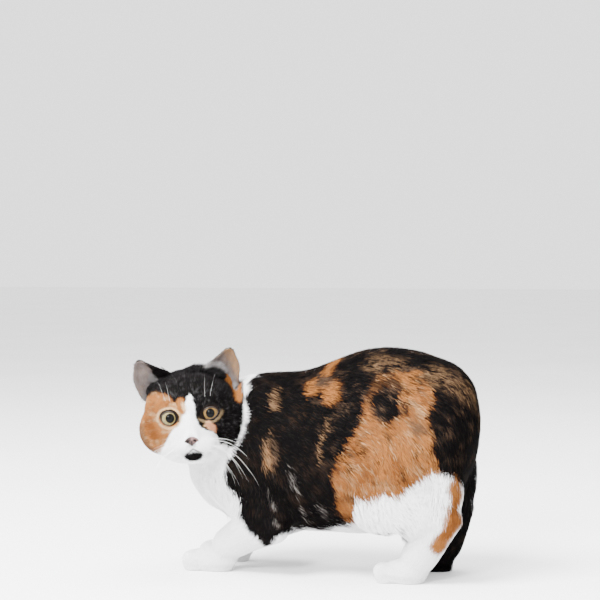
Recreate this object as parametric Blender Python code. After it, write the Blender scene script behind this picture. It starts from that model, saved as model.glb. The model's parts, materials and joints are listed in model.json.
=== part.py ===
"""A life-size calico Manx cat, standing low in front with its head turned to its left side.

The cat faces -X, its left side faces -Y, and it stands on the plane Z = 0. All sizes are metres.
The body is worked out on its own middle plane, y = 0, and BODY_PLACE then sets it over the origin.
"""

import math

import bmesh
import bpy
from mathutils import Euler, Matrix, Vector

# Where the body's own frame stands, so that the origin is under the middle of the whole cat
BODY_PLACE = Vector((-0.0065, 0.0209, 0.0))
GAP = 0.0003
LEFT, RIGHT = -1, 1
SIDE_WORDS = {LEFT: "left", RIGHT: "right"}

# Trunk: place along the back, top line, belly line, half width
BREAST_TIP = Vector((-0.138, -0.004, 0.120))
RUMP_TIP = Vector((0.1965, 0.0, 0.170))
TRUNK = (
    (-0.130, 0.156, 0.091, 0.026),
    (-0.112, 0.186, 0.068, 0.041),
    (-0.078, 0.211, 0.050, 0.050),
    (-0.038, 0.2190, 0.045, 0.056),
    (0.001, 0.2215, 0.043, 0.060),
    (0.036, 0.2340, 0.043, 0.065),
    (0.072, 0.2465, 0.043, 0.068),
    (0.112, 0.2475, 0.050, 0.065),
    (0.148, 0.2385, 0.068, 0.058),
    (0.172, 0.2285, 0.092, 0.049),
    (0.188, 0.2100, 0.122, 0.036),
)
PEAR = 0.17

# Neck, bent from the shoulders to the back of the turned head: place, half width, half depth
NECK = (
    (Vector((-0.048, 0.000, 0.150)), 0.044, 0.052),
    (Vector((-0.088, 0.000, 0.152)), 0.044, 0.052),
    (Vector((-0.118, -0.010, 0.160)), 0.040, 0.046),
)

# Fore leg, for the side at y > 0: joint, half width, half depth
SHOULDER_TOP = (Vector((-0.033, 0.024, 0.190)), 0.018, 0.034)
SHOULDER = (Vector((-0.076, 0.035, 0.116)), 0.026, 0.036)
ELBOW = (Vector((-0.022, 0.048, 0.058)), 0.019, 0.024)
MID_FOREARM = (Vector((-0.050, 0.040, 0.047)), 0.0185, 0.0225)
WRIST = (Vector((-0.080, 0.031, 0.029)), 0.0165, 0.0185)
FORE_PAW = (0.058, 0.034, 0.028)

# Hind leg
HIP = (Vector((0.142, 0.026, 0.180)), 0.032, 0.048)
MID_THIGH = (Vector((0.118, 0.038, 0.130)), 0.030, 0.054)
KNEE = (Vector((0.086, 0.050, 0.084)), 0.020, 0.034)
MID_SHANK = (Vector((0.130, 0.049, 0.080)), 0.0195, 0.034)
HOCK = (Vector((0.164, 0.043, 0.074)), 0.0165, 0.0225)
ANKLE = (Vector((0.136, 0.038, 0.027)), 0.0160, 0.0195)
HIND_PAW = (0.054, 0.035, 0.027)

# A paw's pad and toes, as shares of its length, width and height
PAD_AHEAD, PAD_UP, PAD_RADII = 0.26, 0.40, (0.46, 0.47, 0.56)
TOES = (-1.5, -0.5, 0.5, 1.5)
TOE_AHEAD, TOE_CURVE, TOE_APART, TOE_UP = 0.70, 0.030, 0.215, 0.36
TOE_RADII = (0.23, 0.150, 0.43)
TOE_SPLAY = 0.10

# Flesh that fills the back of the thigh down to the hock: middle, radii, tilt
HAM_MIDDLE = Vector((0.165, 0.036, 0.112))
HAM_RADII = (0.021, 0.021, 0.048)
HAM_TILT = math.radians(-4)

# How far the right leg's joints stand behind the left leg's, from elbow to wrist and from knee to ankle
RIGHT_FORE_STEP = (0.001, 0.000, -0.003)
RIGHT_HIND_STEP = (0.000, -0.003, -0.006, 0.014)

# Head, in its own frame: the face looks along -Y, the eyes lie at z = 0
HEAD_PLACE = Vector((-0.1150, -0.048, 0.1715))
HEAD_YAW, HEAD_PITCH, HEAD_ROLL = math.radians(17.5), math.radians(-4), math.radians(-7.5)
EYE_APART = 0.0218
EYE_DEPTH = -0.0325
EYE_RADIUS = 0.0112
LID = 0.0017
EYE_OPENING = (0.0090, 0.0078)
EYE_SLANT = math.radians(12)
NOSE_TIP = Vector((0.0, -0.0610, -0.0266))
MOUTH_LINE = ((0.0, -0.0350), (0.0060, -0.0385), (0.0120, -0.0405), (0.0175, -0.0395))

# The head's masses as (middle, radii), smoothed together: on its middle line, and on both sides of it
SKULL_MASSES = (
    ((0, 0.006, 0.007), (0.0525, 0.047, 0.0420)),
    ((0, 0.012, 0.0290), (0.0370, 0.022, 0.0225)),
    ((0, -0.013, -0.0310), (0.0400, 0.034, 0.0220)),
    ((0, -0.027, -0.004), (0.0330, 0.0210, 0.0300)),
    ((0, -0.037, -0.023), (0.0270, 0.0190, 0.0180)),
)
SIDE_MASSES = (
    ((0.0290, 0.000, -0.011), (0.0310, 0.034, 0.0300)),
    ((0.0190, -0.0250, 0.0130), (0.0190, 0.0150, 0.0120)),
    ((0.0230, -0.0270, -0.0130), (0.0160, 0.0140, 0.0120)),
    ((0.0330, 0.021, 0.0280), (0.0180, 0.016, 0.0170)),
    ((0.0310, -0.0200, 0.0000), (0.0160, 0.0160, 0.0150)),
)
SKULL_VOXEL = 0.002
CHIN = ((0, -0.0430, -0.0430), (0.0150, 0.0125, 0.0085))
BRIDGE = ((0, -0.0450, -0.0110), (0.0125, 0.0100, 0.0200))
BRIDGE_TILT = math.radians(-30)
NOSE_BASE = ((0, -0.0535, -0.0245), (0.0090, 0.0080, 0.0062))
WHISKER_PAD = ((0.0108, -0.0485, -0.0325), (0.0145, 0.0120, 0.0100))
LID_BLUNTNESS = 1.15
PHILTRUM_RADIUS, LIP_RADIUS = 0.0009, 0.0012
LEATHER_RADII, LEATHER_TILT = (0.0070, 0.0042, 0.0046), math.radians(-14)
NOSTRIL, NOSTRIL_RADII, NOSTRIL_TURN = Vector((0.0040, -0.0034, -0.0010)), (0.0017, 0.0022, 0.0011), 0.5

# Ears
EAR_ROOT = Vector((0.0350, 0.007, 0.024))
EAR_HEIGHT = 0.0455
# From the ear's middle line to its inner and its outer edge, from the root to the blunt tip
EAR_INNER = (0.0320, 0.0300, 0.0220, 0.0140, 0.0068)
EAR_OUTER = (0.0160, 0.0165, 0.0158, 0.0130, 0.0045)
EAR_CUP = 0.012
EAR_WALL = 0.0020
EAR_CUP_FADE, EAR_EDGE_DROP = 0.6, 0.003
EAR_ROWS, EAR_COLUMNS = 9, 8
EAR_LEANS = {1: math.radians(22), -1: math.radians(26)}
EAR_FACING = math.radians(14)
EAR_TIP_BACK = math.radians(-4)

# Cuts between the nodes: the leg boxes' reach, half widths and half depths, then the rounds above the legs
CUT_REACH = 0.09
FORE_PAW_CUT, FOREARM_CUT = (0.022, 0.040), (0.0215, 0.024)
HIND_PAW_CUT, HIND_FOOT_CUT = (0.023, 0.033), (0.0215, 0.030)
FORE_PAW_AIM, HIND_PAW_AIM = Vector((-1, 0, -0.35)), Vector((-0.8, 0, -0.6))
FOREARM_START, HIND_FOOT_START, UPPER_ARM_MIDDLE = 0.38, 0.12, 0.30
UPPER_ARM_CUT, UPPER_ARM_TURN = (0.056, 0.036, 0.092), math.radians(-24)
THIGH_CUT, THIGH_TURN = (0.082, 0.038, 0.096), math.radians(10)
THIGH_SHIFT = Vector((0.007, 0.0, -0.006))
ROUND_CUT_OUT = 0.016
# Flat cuts across the trunk: a place on the cut, and the way to the part that it takes off
TRUNK_CUTS = {
    "neck": (Vector((-0.080, 0, 0.150)), Vector((-0.90, 0, 0.42))),
    "chest": (Vector((-0.010, 0, 0.130)), Vector((-1, 0, 0.10))),
    "belly": (Vector((0.098, 0, 0.150)), Vector((-1, 0, -0.12))),
}
TRUNK_CUT_SIZE = (0.5, 0.3, 0.3)

# Fineness of the modelling
BODY_VOXEL, LEG_VOXEL, HEAD_VOXEL = 0.004, 0.0018, 0.0011
BODY_TRIANGLES, HEAD_TRIANGLES, HEAD_BED_TRIANGLES = 3700, 3100, 700
HEAD_BED_SWELL = 0.0012

COAT_BLACK = ("coat_black", (0.030, 0.026, 0.028), 0.75)
COAT_ORANGE = ("coat_orange", (0.58, 0.30, 0.13), 0.80)
COAT_WHITE = ("coat_white", (0.80, 0.79, 0.80), 0.80)
EAR_SKIN = ("ear_skin", (0.42, 0.31, 0.29), 0.65)
EYE_AMBER = ("eye_amber", (0.42, 0.27, 0.07), 0.10)
NOSE_SKIN = ("nose_skin", (0.30, 0.16, 0.16), 0.45)
NODE_FINISH = {
    "neck": COAT_WHITE,
    "chest": COAT_BLACK,
    "belly": COAT_BLACK,
    "rump": COAT_BLACK,
    "upper_arm_left": COAT_BLACK,
    "upper_arm_right": COAT_BLACK,
    "thigh_left": COAT_ORANGE,
    "thigh_right": COAT_BLACK,
    "hind_foot_right": COAT_BLACK,
    "ear_left": EAR_SKIN,
    "ear_right": EAR_SKIN,
    "eye_left": EYE_AMBER,
    "eye_right": EYE_AMBER,
    "nose": NOSE_SKIN,
}


def clear_scene():
    for obj in list(bpy.data.objects):
        bpy.data.objects.remove(obj)


def finish(named):
    """A material from (name, colour, roughness)."""
    name, colour, roughness = named
    material = bpy.data.materials.get(name) or bpy.data.materials.new(name)
    material.use_nodes = True
    shader = material.node_tree.nodes["Principled BSDF"]
    shader.inputs["Base Color"].default_value = (*colour, 1.0)
    shader.inputs["Roughness"].default_value = roughness
    shader.inputs["Metallic"].default_value = 0.0
    material.diffuse_color = (*colour, 1.0)
    return material


def object_from(name, bm):
    """A new object from a bmesh, which is freed."""
    bmesh.ops.recalc_face_normals(bm, faces=bm.faces)
    mesh = bpy.data.meshes.new(name)
    bm.to_mesh(mesh)
    bm.free()
    obj = bpy.data.objects.new(name, mesh)
    bpy.context.scene.collection.objects.link(obj)
    return obj


def ball(centre, radii, turn=(0.0, 0.0, 0.0), segments=32, rings=18):
    """An ellipsoid with its own radii, turned by Euler angles about its centre."""
    bm = bmesh.new()
    bmesh.ops.create_uvsphere(bm, u_segments=segments, v_segments=rings, radius=1.0)
    turned = Euler(turn).to_matrix().to_4x4()
    place = Matrix.Translation(centre) @ turned @ Matrix.Diagonal((*radii, 1.0))
    bmesh.ops.transform(bm, matrix=place, verts=bm.verts)
    return object_from("ball", bm)


def block(place, sizes, centre=(0.0, 0.0, 0.0)):
    """A box with its middle at centre in the frame of the matrix place."""
    bm = bmesh.new()
    bmesh.ops.create_cube(bm, size=1.0)
    sized = Matrix.Translation(centre) @ Matrix.Diagonal((*sizes, 1.0))
    bmesh.ops.transform(bm, matrix=place @ sized, verts=bm.verts)
    return object_from("block", bm)


def rings_to_object(name, rings, start_tip=None, end_tip=None):
    """A closed tube through rings of points, with a tip or a flat cap at each end."""
    bm = bmesh.new()
    made = [[bm.verts.new(point) for point in ring] for ring in rings]
    sides = len(rings[0])
    for low, high in zip(made, made[1:]):
        for i in range(sides):
            j = (i + 1) % sides
            bm.faces.new((low[i], low[j], high[j], high[i]))
    for ring, tip in ((made[0], start_tip), (made[-1], end_tip)):
        if tip is None:
            bm.faces.new(ring)
            continue
        top = bm.verts.new(tip)
        for i in range(sides):
            bm.faces.new((ring[i], ring[(i + 1) % sides], top))
    return object_from(name, bm)


def between(values, t):
    """A smooth curve through equally spaced values, read at t, in Catmull and Rom's way."""
    count = len(values) - 1
    i = min(int(t), count - 1)
    f = t - i
    a, b = values[max(i - 1, 0)], values[i]
    c, d = values[i + 1], values[min(i + 2, count)]
    square, cube = 2 * a - 5 * b + 4 * c - d, 3 * b - a - 3 * c + d
    return 0.5 * (2 * b + (c - a) * f + square * f**2 + cube * f**3)


def trunk(sides=36, steps=4):
    """The trunk from breast to rump, a pear-shaped section at each station."""
    rings = []
    for step in range((len(TRUNK) - 1) * steps + 1):
        x, top, belly, half = (between(column, step / steps) for column in zip(*TRUNK))
        middle, tall = (top + belly) / 2, (top - belly) / 2
        ring = []
        for k in range(sides):
            angle = 2 * math.pi * k / sides
            wide = half * (1.0 - PEAR * math.sin(angle))
            ring.append((x, wide * math.cos(angle), middle + tall * math.sin(angle)))
        rings.append(ring)
    return rings_to_object("trunk", rings, BREAST_TIP, RUMP_TIP)


def limb_ring(path, k, wide, deep, push, sides):
    """One ring across a path, level in its width, pushed along the path."""
    last = len(path) - 1
    ahead = (path[min(k + 1, last)] - path[max(k - 1, 0)]).normalized()
    across = (Vector((0, 1, 0)) - ahead * ahead.y).normalized()
    down = ahead.cross(across)
    centre = path[k] + ahead * push
    angles = [2 * math.pi * s / sides for s in range(sides)]
    return [centre + across * wide * math.cos(angle) + down * deep * math.sin(angle) for angle in angles]


def limb(joints, sides=20, steps=5, grow=0.0):
    """A tapered limb with round ends through (joint, half width, half depth)."""
    centres, widths, depths = zip(*joints)
    count = (len(joints) - 1) * steps
    path = [between(centres, k / steps) for k in range(count + 1)]
    wide = [between(widths, k / steps) + grow for k in range(count + 1)]
    deep = [between(depths, k / steps) + grow for k in range(count + 1)]
    dome = [(math.cos(math.radians(angle)), math.sin(math.radians(angle))) for angle in (25, 50, 70)]
    rings = [limb_ring(path, 0, wide[0] * c, deep[0] * c, -wide[0] * s, sides) for c, s in reversed(dome)]
    rings += [limb_ring(path, k, wide[k], deep[k], 0.0, sides) for k in range(count + 1)]
    rings += [limb_ring(path, count, wide[-1] * c, deep[-1] * c, wide[-1] * s, sides) for c, s in dome]
    return rings_to_object("limb", rings)


def on_side(joint, side, back=0.0):
    """A leg's joint on its side of the body, moved back."""
    place, wide, deep = joint
    return (Vector((place.x + back, side * place.y, place.z)), wide, deep)


def paw(heel, side, sizes):
    """A paw that points along -X from its heel: the pad's mass and four toes."""
    length, width, height = sizes
    pad = Vector((heel.x - PAD_AHEAD * length, heel.y, PAD_UP * height))
    masses = [ball(pad, [share * size for share, size in zip(PAD_RADII, sizes)])]
    radii = [share * size for share, size in zip(TOE_RADII, sizes)]
    for toe in TOES:
        ahead = length * (TOE_AHEAD - TOE_CURVE * toe**2)
        place = Vector((heel.x - ahead, heel.y + toe * TOE_APART * width, TOE_UP * height))
        masses.append(ball(place, radii, (0.0, 0.0, TOE_SPLAY * toe * side), 20, 12))
    return masses


def join(objects, name):
    """One mesh object from several, with no union yet."""
    bpy.ops.object.select_all(action="DESELECT")
    for obj in objects:
        obj.select_set(True)
    bpy.context.view_layer.objects.active = objects[0]
    bpy.ops.object.join()
    joined = bpy.context.view_layer.objects.active
    joined.name = name
    return joined


def apply_modifier(obj, kind, **settings):
    modifier = obj.modifiers.new(kind.lower(), kind)
    for key, value in settings.items():
        setattr(modifier, key, value)
    bpy.ops.object.select_all(action="DESELECT")
    obj.select_set(True)
    bpy.context.view_layer.objects.active = obj
    bpy.ops.object.modifier_apply(modifier=modifier.name)


def fuse(objects, name, voxel, rounds):
    """Overlapping masses made one closed skin, and its creases smoothed as flesh would round them."""
    joined = join(objects, name)
    apply_modifier(joined, "REMESH", mode="VOXEL", voxel_size=voxel, adaptivity=0.0)
    apply_modifier(joined, "SMOOTH", factor=0.5, iterations=rounds)
    return joined


def thin_out(obj, triangles):
    """Fewer triangles, most of them left where the form bends."""
    obj.data.calc_loop_triangles()
    share = triangles / len(obj.data.loop_triangles)
    apply_modifier(obj, "DECIMATE", ratio=min(1.0, share), use_collapse_triangulate=True)


def boolean(obj, other, operation):
    apply_modifier(obj, "BOOLEAN", object=other, operation=operation, solver="EXACT")
    bpy.data.objects.remove(other)


def copy_of(obj, name, swell=0.0):
    """A copy with its own mesh, swollen outwards if asked."""
    twin = bpy.data.objects.new(name, obj.data.copy())
    bpy.context.scene.collection.objects.link(twin)
    if swell:
        apply_modifier(twin, "DISPLACE", strength=swell, mid_level=0.0)
    return twin


def connected_pieces(bm):
    """The mesh's faces in groups that hang together, the largest area first."""
    left = set(bm.faces)
    pieces = []
    while left:
        stack = [left.pop()]
        piece = set(stack)
        while stack:
            for edge in stack.pop().edges:
                for face in edge.link_faces:
                    if face in left:
                        left.discard(face)
                        piece.add(face)
                        stack.append(face)
        pieces.append(piece)
    return sorted(pieces, key=lambda piece: sum(face.calc_area() for face in piece), reverse=True)


def keep_largest(obj):
    """Only the largest closed surface stays."""
    bm = bmesh.new()
    bm.from_mesh(obj.data)
    for piece in connected_pieces(bm)[1:]:
        bmesh.ops.delete(bm, geom=list(piece), context="FACES")
    bm.to_mesh(obj.data)
    bm.free()


def part_off(body, region, name):
    """Cuts what lies in a region off the body as its own node, with the gap all round the cut."""
    node = copy_of(body, name)
    boolean(node, region(0.0), "INTERSECT")
    keep_largest(node)
    boolean(body, region(GAP), "DIFFERENCE")
    keep_largest(body)
    return node


def leg_joints(side):
    """Both legs of one side, in their stance: the fore leg's joints and the hind leg's."""
    step = 1 if side == RIGHT else 0
    lower_fore = zip((ELBOW, MID_FOREARM, WRIST), RIGHT_FORE_STEP)
    lower_hind = zip((KNEE, MID_SHANK, HOCK, ANKLE), RIGHT_HIND_STEP)
    fore = [on_side(SHOULDER_TOP, side), on_side(SHOULDER, side)]
    fore += [on_side(joint, side, step * back) for joint, back in lower_fore]
    hind = [on_side(HIP, side), on_side(MID_THIGH, side)]
    hind += [on_side(joint, side, step * back) for joint, back in lower_hind]
    return fore, hind


def whole_body():
    """Trunk, neck, shoulders, haunches and legs as one skin."""
    masses = [trunk(), limb(NECK, 28)]
    for side in (LEFT, RIGHT):
        fore, hind = leg_joints(side)
        masses += [limb(fore[:3]), limb(hind[:3]), limb(hind[2:5])]
        ham = Vector((HAM_MIDDLE.x, side * HAM_MIDDLE.y, HAM_MIDDLE.z))
        masses.append(ball(ham, HAM_RADII, (0.0, HAM_TILT, 0.0)))
    pieces = [fuse(masses, "mass", BODY_VOXEL, 10)]
    for side in (LEFT, RIGHT):
        fore, hind = leg_joints(side)
        pieces += [limb(fore[2:]), limb(hind[3:5]), limb(hind[4:])]
        pieces += paw(fore[-1][0], side, FORE_PAW)
        pieces += paw(hind[-1][0], side, HIND_PAW)
    return fuse(pieces, "body", LEG_VOXEL, 8)


def along(start, end):
    """A frame at start whose X axis runs towards end, with its Y axis level."""
    ahead = (end - start).normalized()
    across = (Vector((0, 1, 0)) - ahead * ahead.y).normalized()
    turn = Matrix((ahead, across, ahead.cross(across))).transposed()
    return Matrix.Translation(start) @ turn.to_4x4()


def beyond(start, end, reach, half_width, half_depth):
    """A region that begins at start and runs past end: a function of how much wider it is."""
    return lambda grow: block(
        along(start, end),
        (reach + 2 * grow, 2 * (half_width + grow), 2 * (half_depth + grow)),
        (reach / 2, 0.0, 0.0),
    )


def around(centre, radii, turn):
    """An ellipsoid region: a function of how much wider it is."""
    return lambda grow: ball(centre, [radius + grow for radius in radii], (0.0, turn, 0.0), 16, 9)


def part_leg_nodes(body, side):
    """The six nodes of one side's legs, cut off from the paws upwards."""
    fore, hind = leg_joints(side)
    word = SIDE_WORDS[side]
    shoulder, elbow, wrist = fore[1][0], fore[2][0], fore[4][0]
    hock, ankle = hind[4][0], hind[5][0]
    out = Vector((0, side * ROUND_CUT_OUT, 0))
    arm_middle = shoulder.lerp(elbow, UPPER_ARM_MIDDLE) + out
    thigh_middle = hind[1][0] + THIGH_SHIFT + out
    regions = {
        "fore_paw_": beyond(wrist, wrist + FORE_PAW_AIM, CUT_REACH, *FORE_PAW_CUT),
        "forearm_": beyond(elbow.lerp(wrist, FOREARM_START), wrist, CUT_REACH, *FOREARM_CUT),
        "hind_paw_": beyond(ankle, ankle + HIND_PAW_AIM, CUT_REACH, *HIND_PAW_CUT),
        "hind_foot_": beyond(hock.lerp(ankle, HIND_FOOT_START), ankle, CUT_REACH, *HIND_FOOT_CUT),
        "upper_arm_": around(arm_middle, UPPER_ARM_CUT, UPPER_ARM_TURN),
        "thigh_": around(thigh_middle, THIGH_CUT, THIGH_TURN),
    }
    return {name + word: part_off(body, region, name + word) for name, region in regions.items()}


def part_trunk_nodes(body):
    """Neck, chest, belly and rump, parted by flat cuts across the trunk."""
    nodes = {}
    for name, (place, ahead) in TRUNK_CUTS.items():
        nodes[name] = part_off(body, beyond(place, place + ahead, *TRUNK_CUT_SIZE), name)
    nodes["rump"] = body
    return nodes


def head_matrix():
    turn = Matrix.Rotation(HEAD_YAW, 4, "Z") @ Matrix.Rotation(HEAD_PITCH, 4, "X")
    return Matrix.Translation(HEAD_PLACE) @ turn @ Matrix.Rotation(HEAD_ROLL, 4, "Y")


def skull():
    """The head's masses in its own frame, as one skin: skull, cheeks, brow, bridge, muzzle and chin."""
    masses = [ball(middle, radii) for middle, radii in SKULL_MASSES]
    for side in (-1, 1):
        masses += [ball((side * x, y, z), radii) for (x, y, z), radii in SIDE_MASSES]
    fine = [fuse(masses, "skull", SKULL_VOXEL, 10)]
    fine += [ball(*CHIN), ball(*BRIDGE, (BRIDGE_TILT, 0, 0)), ball(*NOSE_BASE)]
    for side in (-1, 1):
        (x, y, z), radii = WHISKER_PAD
        fine.append(ball((side * x, y, z), radii))
        fine.append(ball((side * EYE_APART, EYE_DEPTH, 0), (EYE_RADIUS + LID,) * 3))
    return fuse(fine, "head", HEAD_VOXEL, 4)


def almond(side):
    """The eye's opening as a long prism, blunt at both corners and raised at the outer one."""
    half_long, half_tall = EYE_OPENING
    points = 22
    turn = Matrix.Rotation(-side * EYE_SLANT, 4, "Y")
    rings = []
    for y in (EYE_DEPTH - 0.020, EYE_DEPTH):
        ring = []
        for k in range(points):
            angle = 2 * math.pi * k / points
            rise = math.copysign(abs(math.sin(angle)) ** LID_BLUNTNESS, math.sin(angle))
            corner = turn @ Vector((half_long * math.cos(angle), 0, half_tall * rise))
            ring.append(corner + Vector((side * EYE_APART, y, 0)))
        rings.append(ring)
    return rings_to_object("almond", rings)


def tube(points, radius, sides=8, steps=4):
    """A thin round tube through a few points."""
    joints = [(point, radius, radius) for point in points]
    return limb(joints, sides, steps)


def on_face(head, x, z):
    """The point of the head's front at this width and height."""
    found, place, normal, index = head.ray_cast(Vector((x, -0.2, z)), Vector((0, 1, 0)))
    return place


def mouth_grooves(head):
    """The line of the mouth: down from the nose, and out along each lip."""
    top = NOSE_TIP.z - LEATHER_RADII[1]
    middle = MOUTH_LINE[0][1]
    grooves = [tube([on_face(head, 0, z) for z in (top, (top + middle) / 2, middle)], PHILTRUM_RADIUS)]
    for side in (-1, 1):
        grooves.append(tube([on_face(head, side * x, z) for x, z in MOUTH_LINE], LIP_RADIUS))
    return grooves


def ear_row(v, side, columns):
    """The points across an ear at height v from 0 to 1, cupped more at its root."""
    last = len(EAR_INNER) - 1
    inner, outer = between(EAR_INNER, v * last), between(EAR_OUTER, v * last)
    cup = EAR_CUP * (1 - v) ** EAR_CUP_FADE
    row = []
    for j in range(columns + 1):
        u = 2 * j / columns - 1
        reach = outer if u > 0 else inner
        row.append(Vector((side * reach * u, cup * (1 - u * u), EAR_HEIGHT * v - EAR_EDGE_DROP * u * u * v)))
    return row


def ear(side):
    """A cupped ear with a round tip, open to the front and a little outwards."""
    bm = bmesh.new()
    heights = [1 - (1 - i / EAR_ROWS) ** 1.3 for i in range(EAR_ROWS + 1)]
    grid = [[bm.verts.new(point) for point in ear_row(v, side, EAR_COLUMNS)] for v in heights]
    for low, high in zip(grid, grid[1:]):
        for j in range(EAR_COLUMNS):
            bm.faces.new((low[j], low[j + 1], high[j + 1], high[j]))
    obj = object_from("ear", bm)
    apply_modifier(obj, "SOLIDIFY", thickness=EAR_WALL, offset=0.0)
    place = Matrix.Translation((side * EAR_ROOT.x, EAR_ROOT.y, EAR_ROOT.z))
    lean = Matrix.Rotation(side * EAR_LEANS[side], 4, "Y")
    facing = Matrix.Rotation(side * EAR_FACING, 4, "Z")
    obj.data.transform(place @ lean @ facing @ Matrix.Rotation(EAR_TIP_BACK, 4, "X"))
    return obj


def nose():
    """The nose leather, a blunt triangle over the tip of the muzzle, with its nostrils."""
    leather = ball(NOSE_TIP, LEATHER_RADII, (LEATHER_TILT, 0, 0), 18, 10)
    for side in (-1, 1):
        place = NOSE_TIP + Vector((side * NOSTRIL.x, NOSTRIL.y, NOSTRIL.z))
        boolean(leather, ball(place, NOSTRIL_RADII, (0, side * NOSTRIL_TURN, 0), 8, 5), "DIFFERENCE")
    return leather


def build_head():
    """Head, ears, eyes and nose as nodes in their places, and the beds that they need in the neck."""
    head = skull()
    thin_out(head, HEAD_TRIANGLES)
    nodes = {}
    around_head = copy_of(head, "around_head", GAP)
    bed = copy_of(head, "bed")
    thin_out(bed, HEAD_BED_TRIANGLES)
    apply_modifier(bed, "DISPLACE", strength=HEAD_BED_SWELL, mid_level=0.0)
    for side, word in ((1, "left"), (-1, "right")):
        shell = ear(side)
        boolean(shell, copy_of(around_head, "around"), "DIFFERENCE")
        keep_largest(shell)
        nodes["ear_" + word] = shell
        boolean(head, almond(side), "DIFFERENCE")
        place = Vector((side * EYE_APART, EYE_DEPTH, 0))
        boolean(head, ball(place, (EYE_RADIUS + GAP,) * 3, (math.pi / 2, 0, 0), 20, 11), "DIFFERENCE")
        nodes["eye_" + word] = ball(place, (EYE_RADIUS,) * 3, (math.pi / 2, 0, 0), 20, 11)
    for groove in mouth_grooves(head):
        boolean(head, groove, "DIFFERENCE")
    leather = nose()
    boolean(head, copy_of(leather, "bed", GAP), "DIFFERENCE")
    keep_largest(head)
    nodes["nose"] = leather
    nodes["head"] = head
    bpy.data.objects.remove(around_head)
    beds = [bed] + [copy_of(nodes[name], "ear_bed", HEAD_BED_SWELL) for name in ("ear_left", "ear_right")]
    for obj in (*beds, *nodes.values()):
        obj.data.transform(head_matrix())
    return nodes, beds


def build_body(head_beds):
    """The body, cut flat at the floor and clear of the head, and parted into its nodes."""
    body = whole_body()
    thin_out(body, BODY_TRIANGLES)
    boolean(body, block(Matrix(), (1, 1, 1), (0, 0, -0.5)), "DIFFERENCE")
    for bed in head_beds:
        boolean(body, bed, "DIFFERENCE")
    keep_largest(body)
    nodes = part_leg_nodes(body, LEFT)
    nodes.update(part_leg_nodes(body, RIGHT))
    nodes.update(part_trunk_nodes(body))
    return nodes


def main():
    clear_scene()
    nodes, head_beds = build_head()
    nodes.update(build_body(head_beds))
    for name, obj in nodes.items():
        obj.name = name
        obj.data.transform(Matrix.Translation(BODY_PLACE))
        obj.data.materials.clear()
        obj.data.materials.append(finish(NODE_FINISH.get(name, COAT_WHITE)))
        obj.data.shade_smooth()
        obj.data.set_sharp_from_angle(angle=math.radians(40))


main()
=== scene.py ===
"""The look of a life-size calico Manx cat: one skin, a short dense coat, eyes, ears, nose and whiskers."""

import json
import math

import bpy
import numpy as np
from mathutils import Matrix, Vector
from mathutils.bvhtree import BVHTree

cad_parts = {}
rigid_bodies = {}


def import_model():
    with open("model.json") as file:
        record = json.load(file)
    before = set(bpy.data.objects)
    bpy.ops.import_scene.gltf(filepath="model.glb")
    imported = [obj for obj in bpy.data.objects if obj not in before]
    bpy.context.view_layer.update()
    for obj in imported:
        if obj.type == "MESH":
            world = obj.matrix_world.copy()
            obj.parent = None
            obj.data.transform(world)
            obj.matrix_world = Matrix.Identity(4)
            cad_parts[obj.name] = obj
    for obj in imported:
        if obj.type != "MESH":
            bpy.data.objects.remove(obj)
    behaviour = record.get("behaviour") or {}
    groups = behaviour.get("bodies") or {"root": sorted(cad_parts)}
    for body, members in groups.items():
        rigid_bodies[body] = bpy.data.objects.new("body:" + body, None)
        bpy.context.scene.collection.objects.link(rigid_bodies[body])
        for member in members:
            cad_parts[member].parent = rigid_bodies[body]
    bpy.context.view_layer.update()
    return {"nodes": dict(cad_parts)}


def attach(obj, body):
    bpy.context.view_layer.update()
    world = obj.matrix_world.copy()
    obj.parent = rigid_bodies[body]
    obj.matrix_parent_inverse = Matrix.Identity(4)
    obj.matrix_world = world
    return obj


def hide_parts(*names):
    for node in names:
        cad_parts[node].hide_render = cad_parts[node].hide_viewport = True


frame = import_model()

LEFT, RIGHT = 1, -1
SIDES = {LEFT: "left", RIGHT: "right"}
LEG_NODES = ("upper_arm", "forearm", "fore_paw", "thigh", "hind_foot", "hind_paw")
FLESH = ["head", "neck", "chest", "belly", "rump"]
FLESH += [f"{node}_{word}" for word in SIDES.values() for node in LEG_NODES]

# Places on the cat were measured in a frame that stands here, and MIDDLE is the plane between its sides
STAND = np.array((0.0025, -0.0013, 0.0))
MIDDLE = 0.0222

# The head's own frame: the face looks along -Y, the eyes lie at z = 0, the cat's left is at +X
HEAD_PLACE = np.array((-0.1240, -0.0258, 0.1715)) + STAND
HEAD_YAW, HEAD_PITCH, HEAD_ROLL = math.radians(17.5), math.radians(-4), math.radians(-7.5)
HEAD_TURN = np.array(
    Matrix.Rotation(HEAD_YAW, 3, "Z")
    @ Matrix.Rotation(HEAD_PITCH, 3, "X")
    @ Matrix.Rotation(HEAD_ROLL, 3, "Y")
)
HEAD_MIDDLE, HEAD_RADII = np.array((0.0, 0.0, -0.002)), np.array((0.064, 0.058, 0.058))
EYE_APART, EYE_DEPTH, EYE_RADIUS = 0.0218, -0.0325, 0.0112
EYE_SLANT = math.radians(12)
# Half length and half height of each eye's opening: the cat's left eye is a little more closed
EYE_OPENING = {LEFT: (0.0088, 0.0061), RIGHT: (0.0092, 0.0070)}
NOSE_TIP = np.array((0.0, -0.0610, -0.0266))
MOUTH_LINE = ((0.0, 0.0350), (0.0060, 0.0385), (0.0120, 0.0405), (0.0175, 0.0395))

# Skin: its swell before the remesh, fineness, and gaps from the eyes' surface and from the floor
SKIN_SWELL = 0.0004
SKIN_VOXEL = 0.0011
SKIN_TRIANGLES = 150000
SOCKET_GAP = 0.0008
FLOOR_GAP = 0.0004
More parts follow.
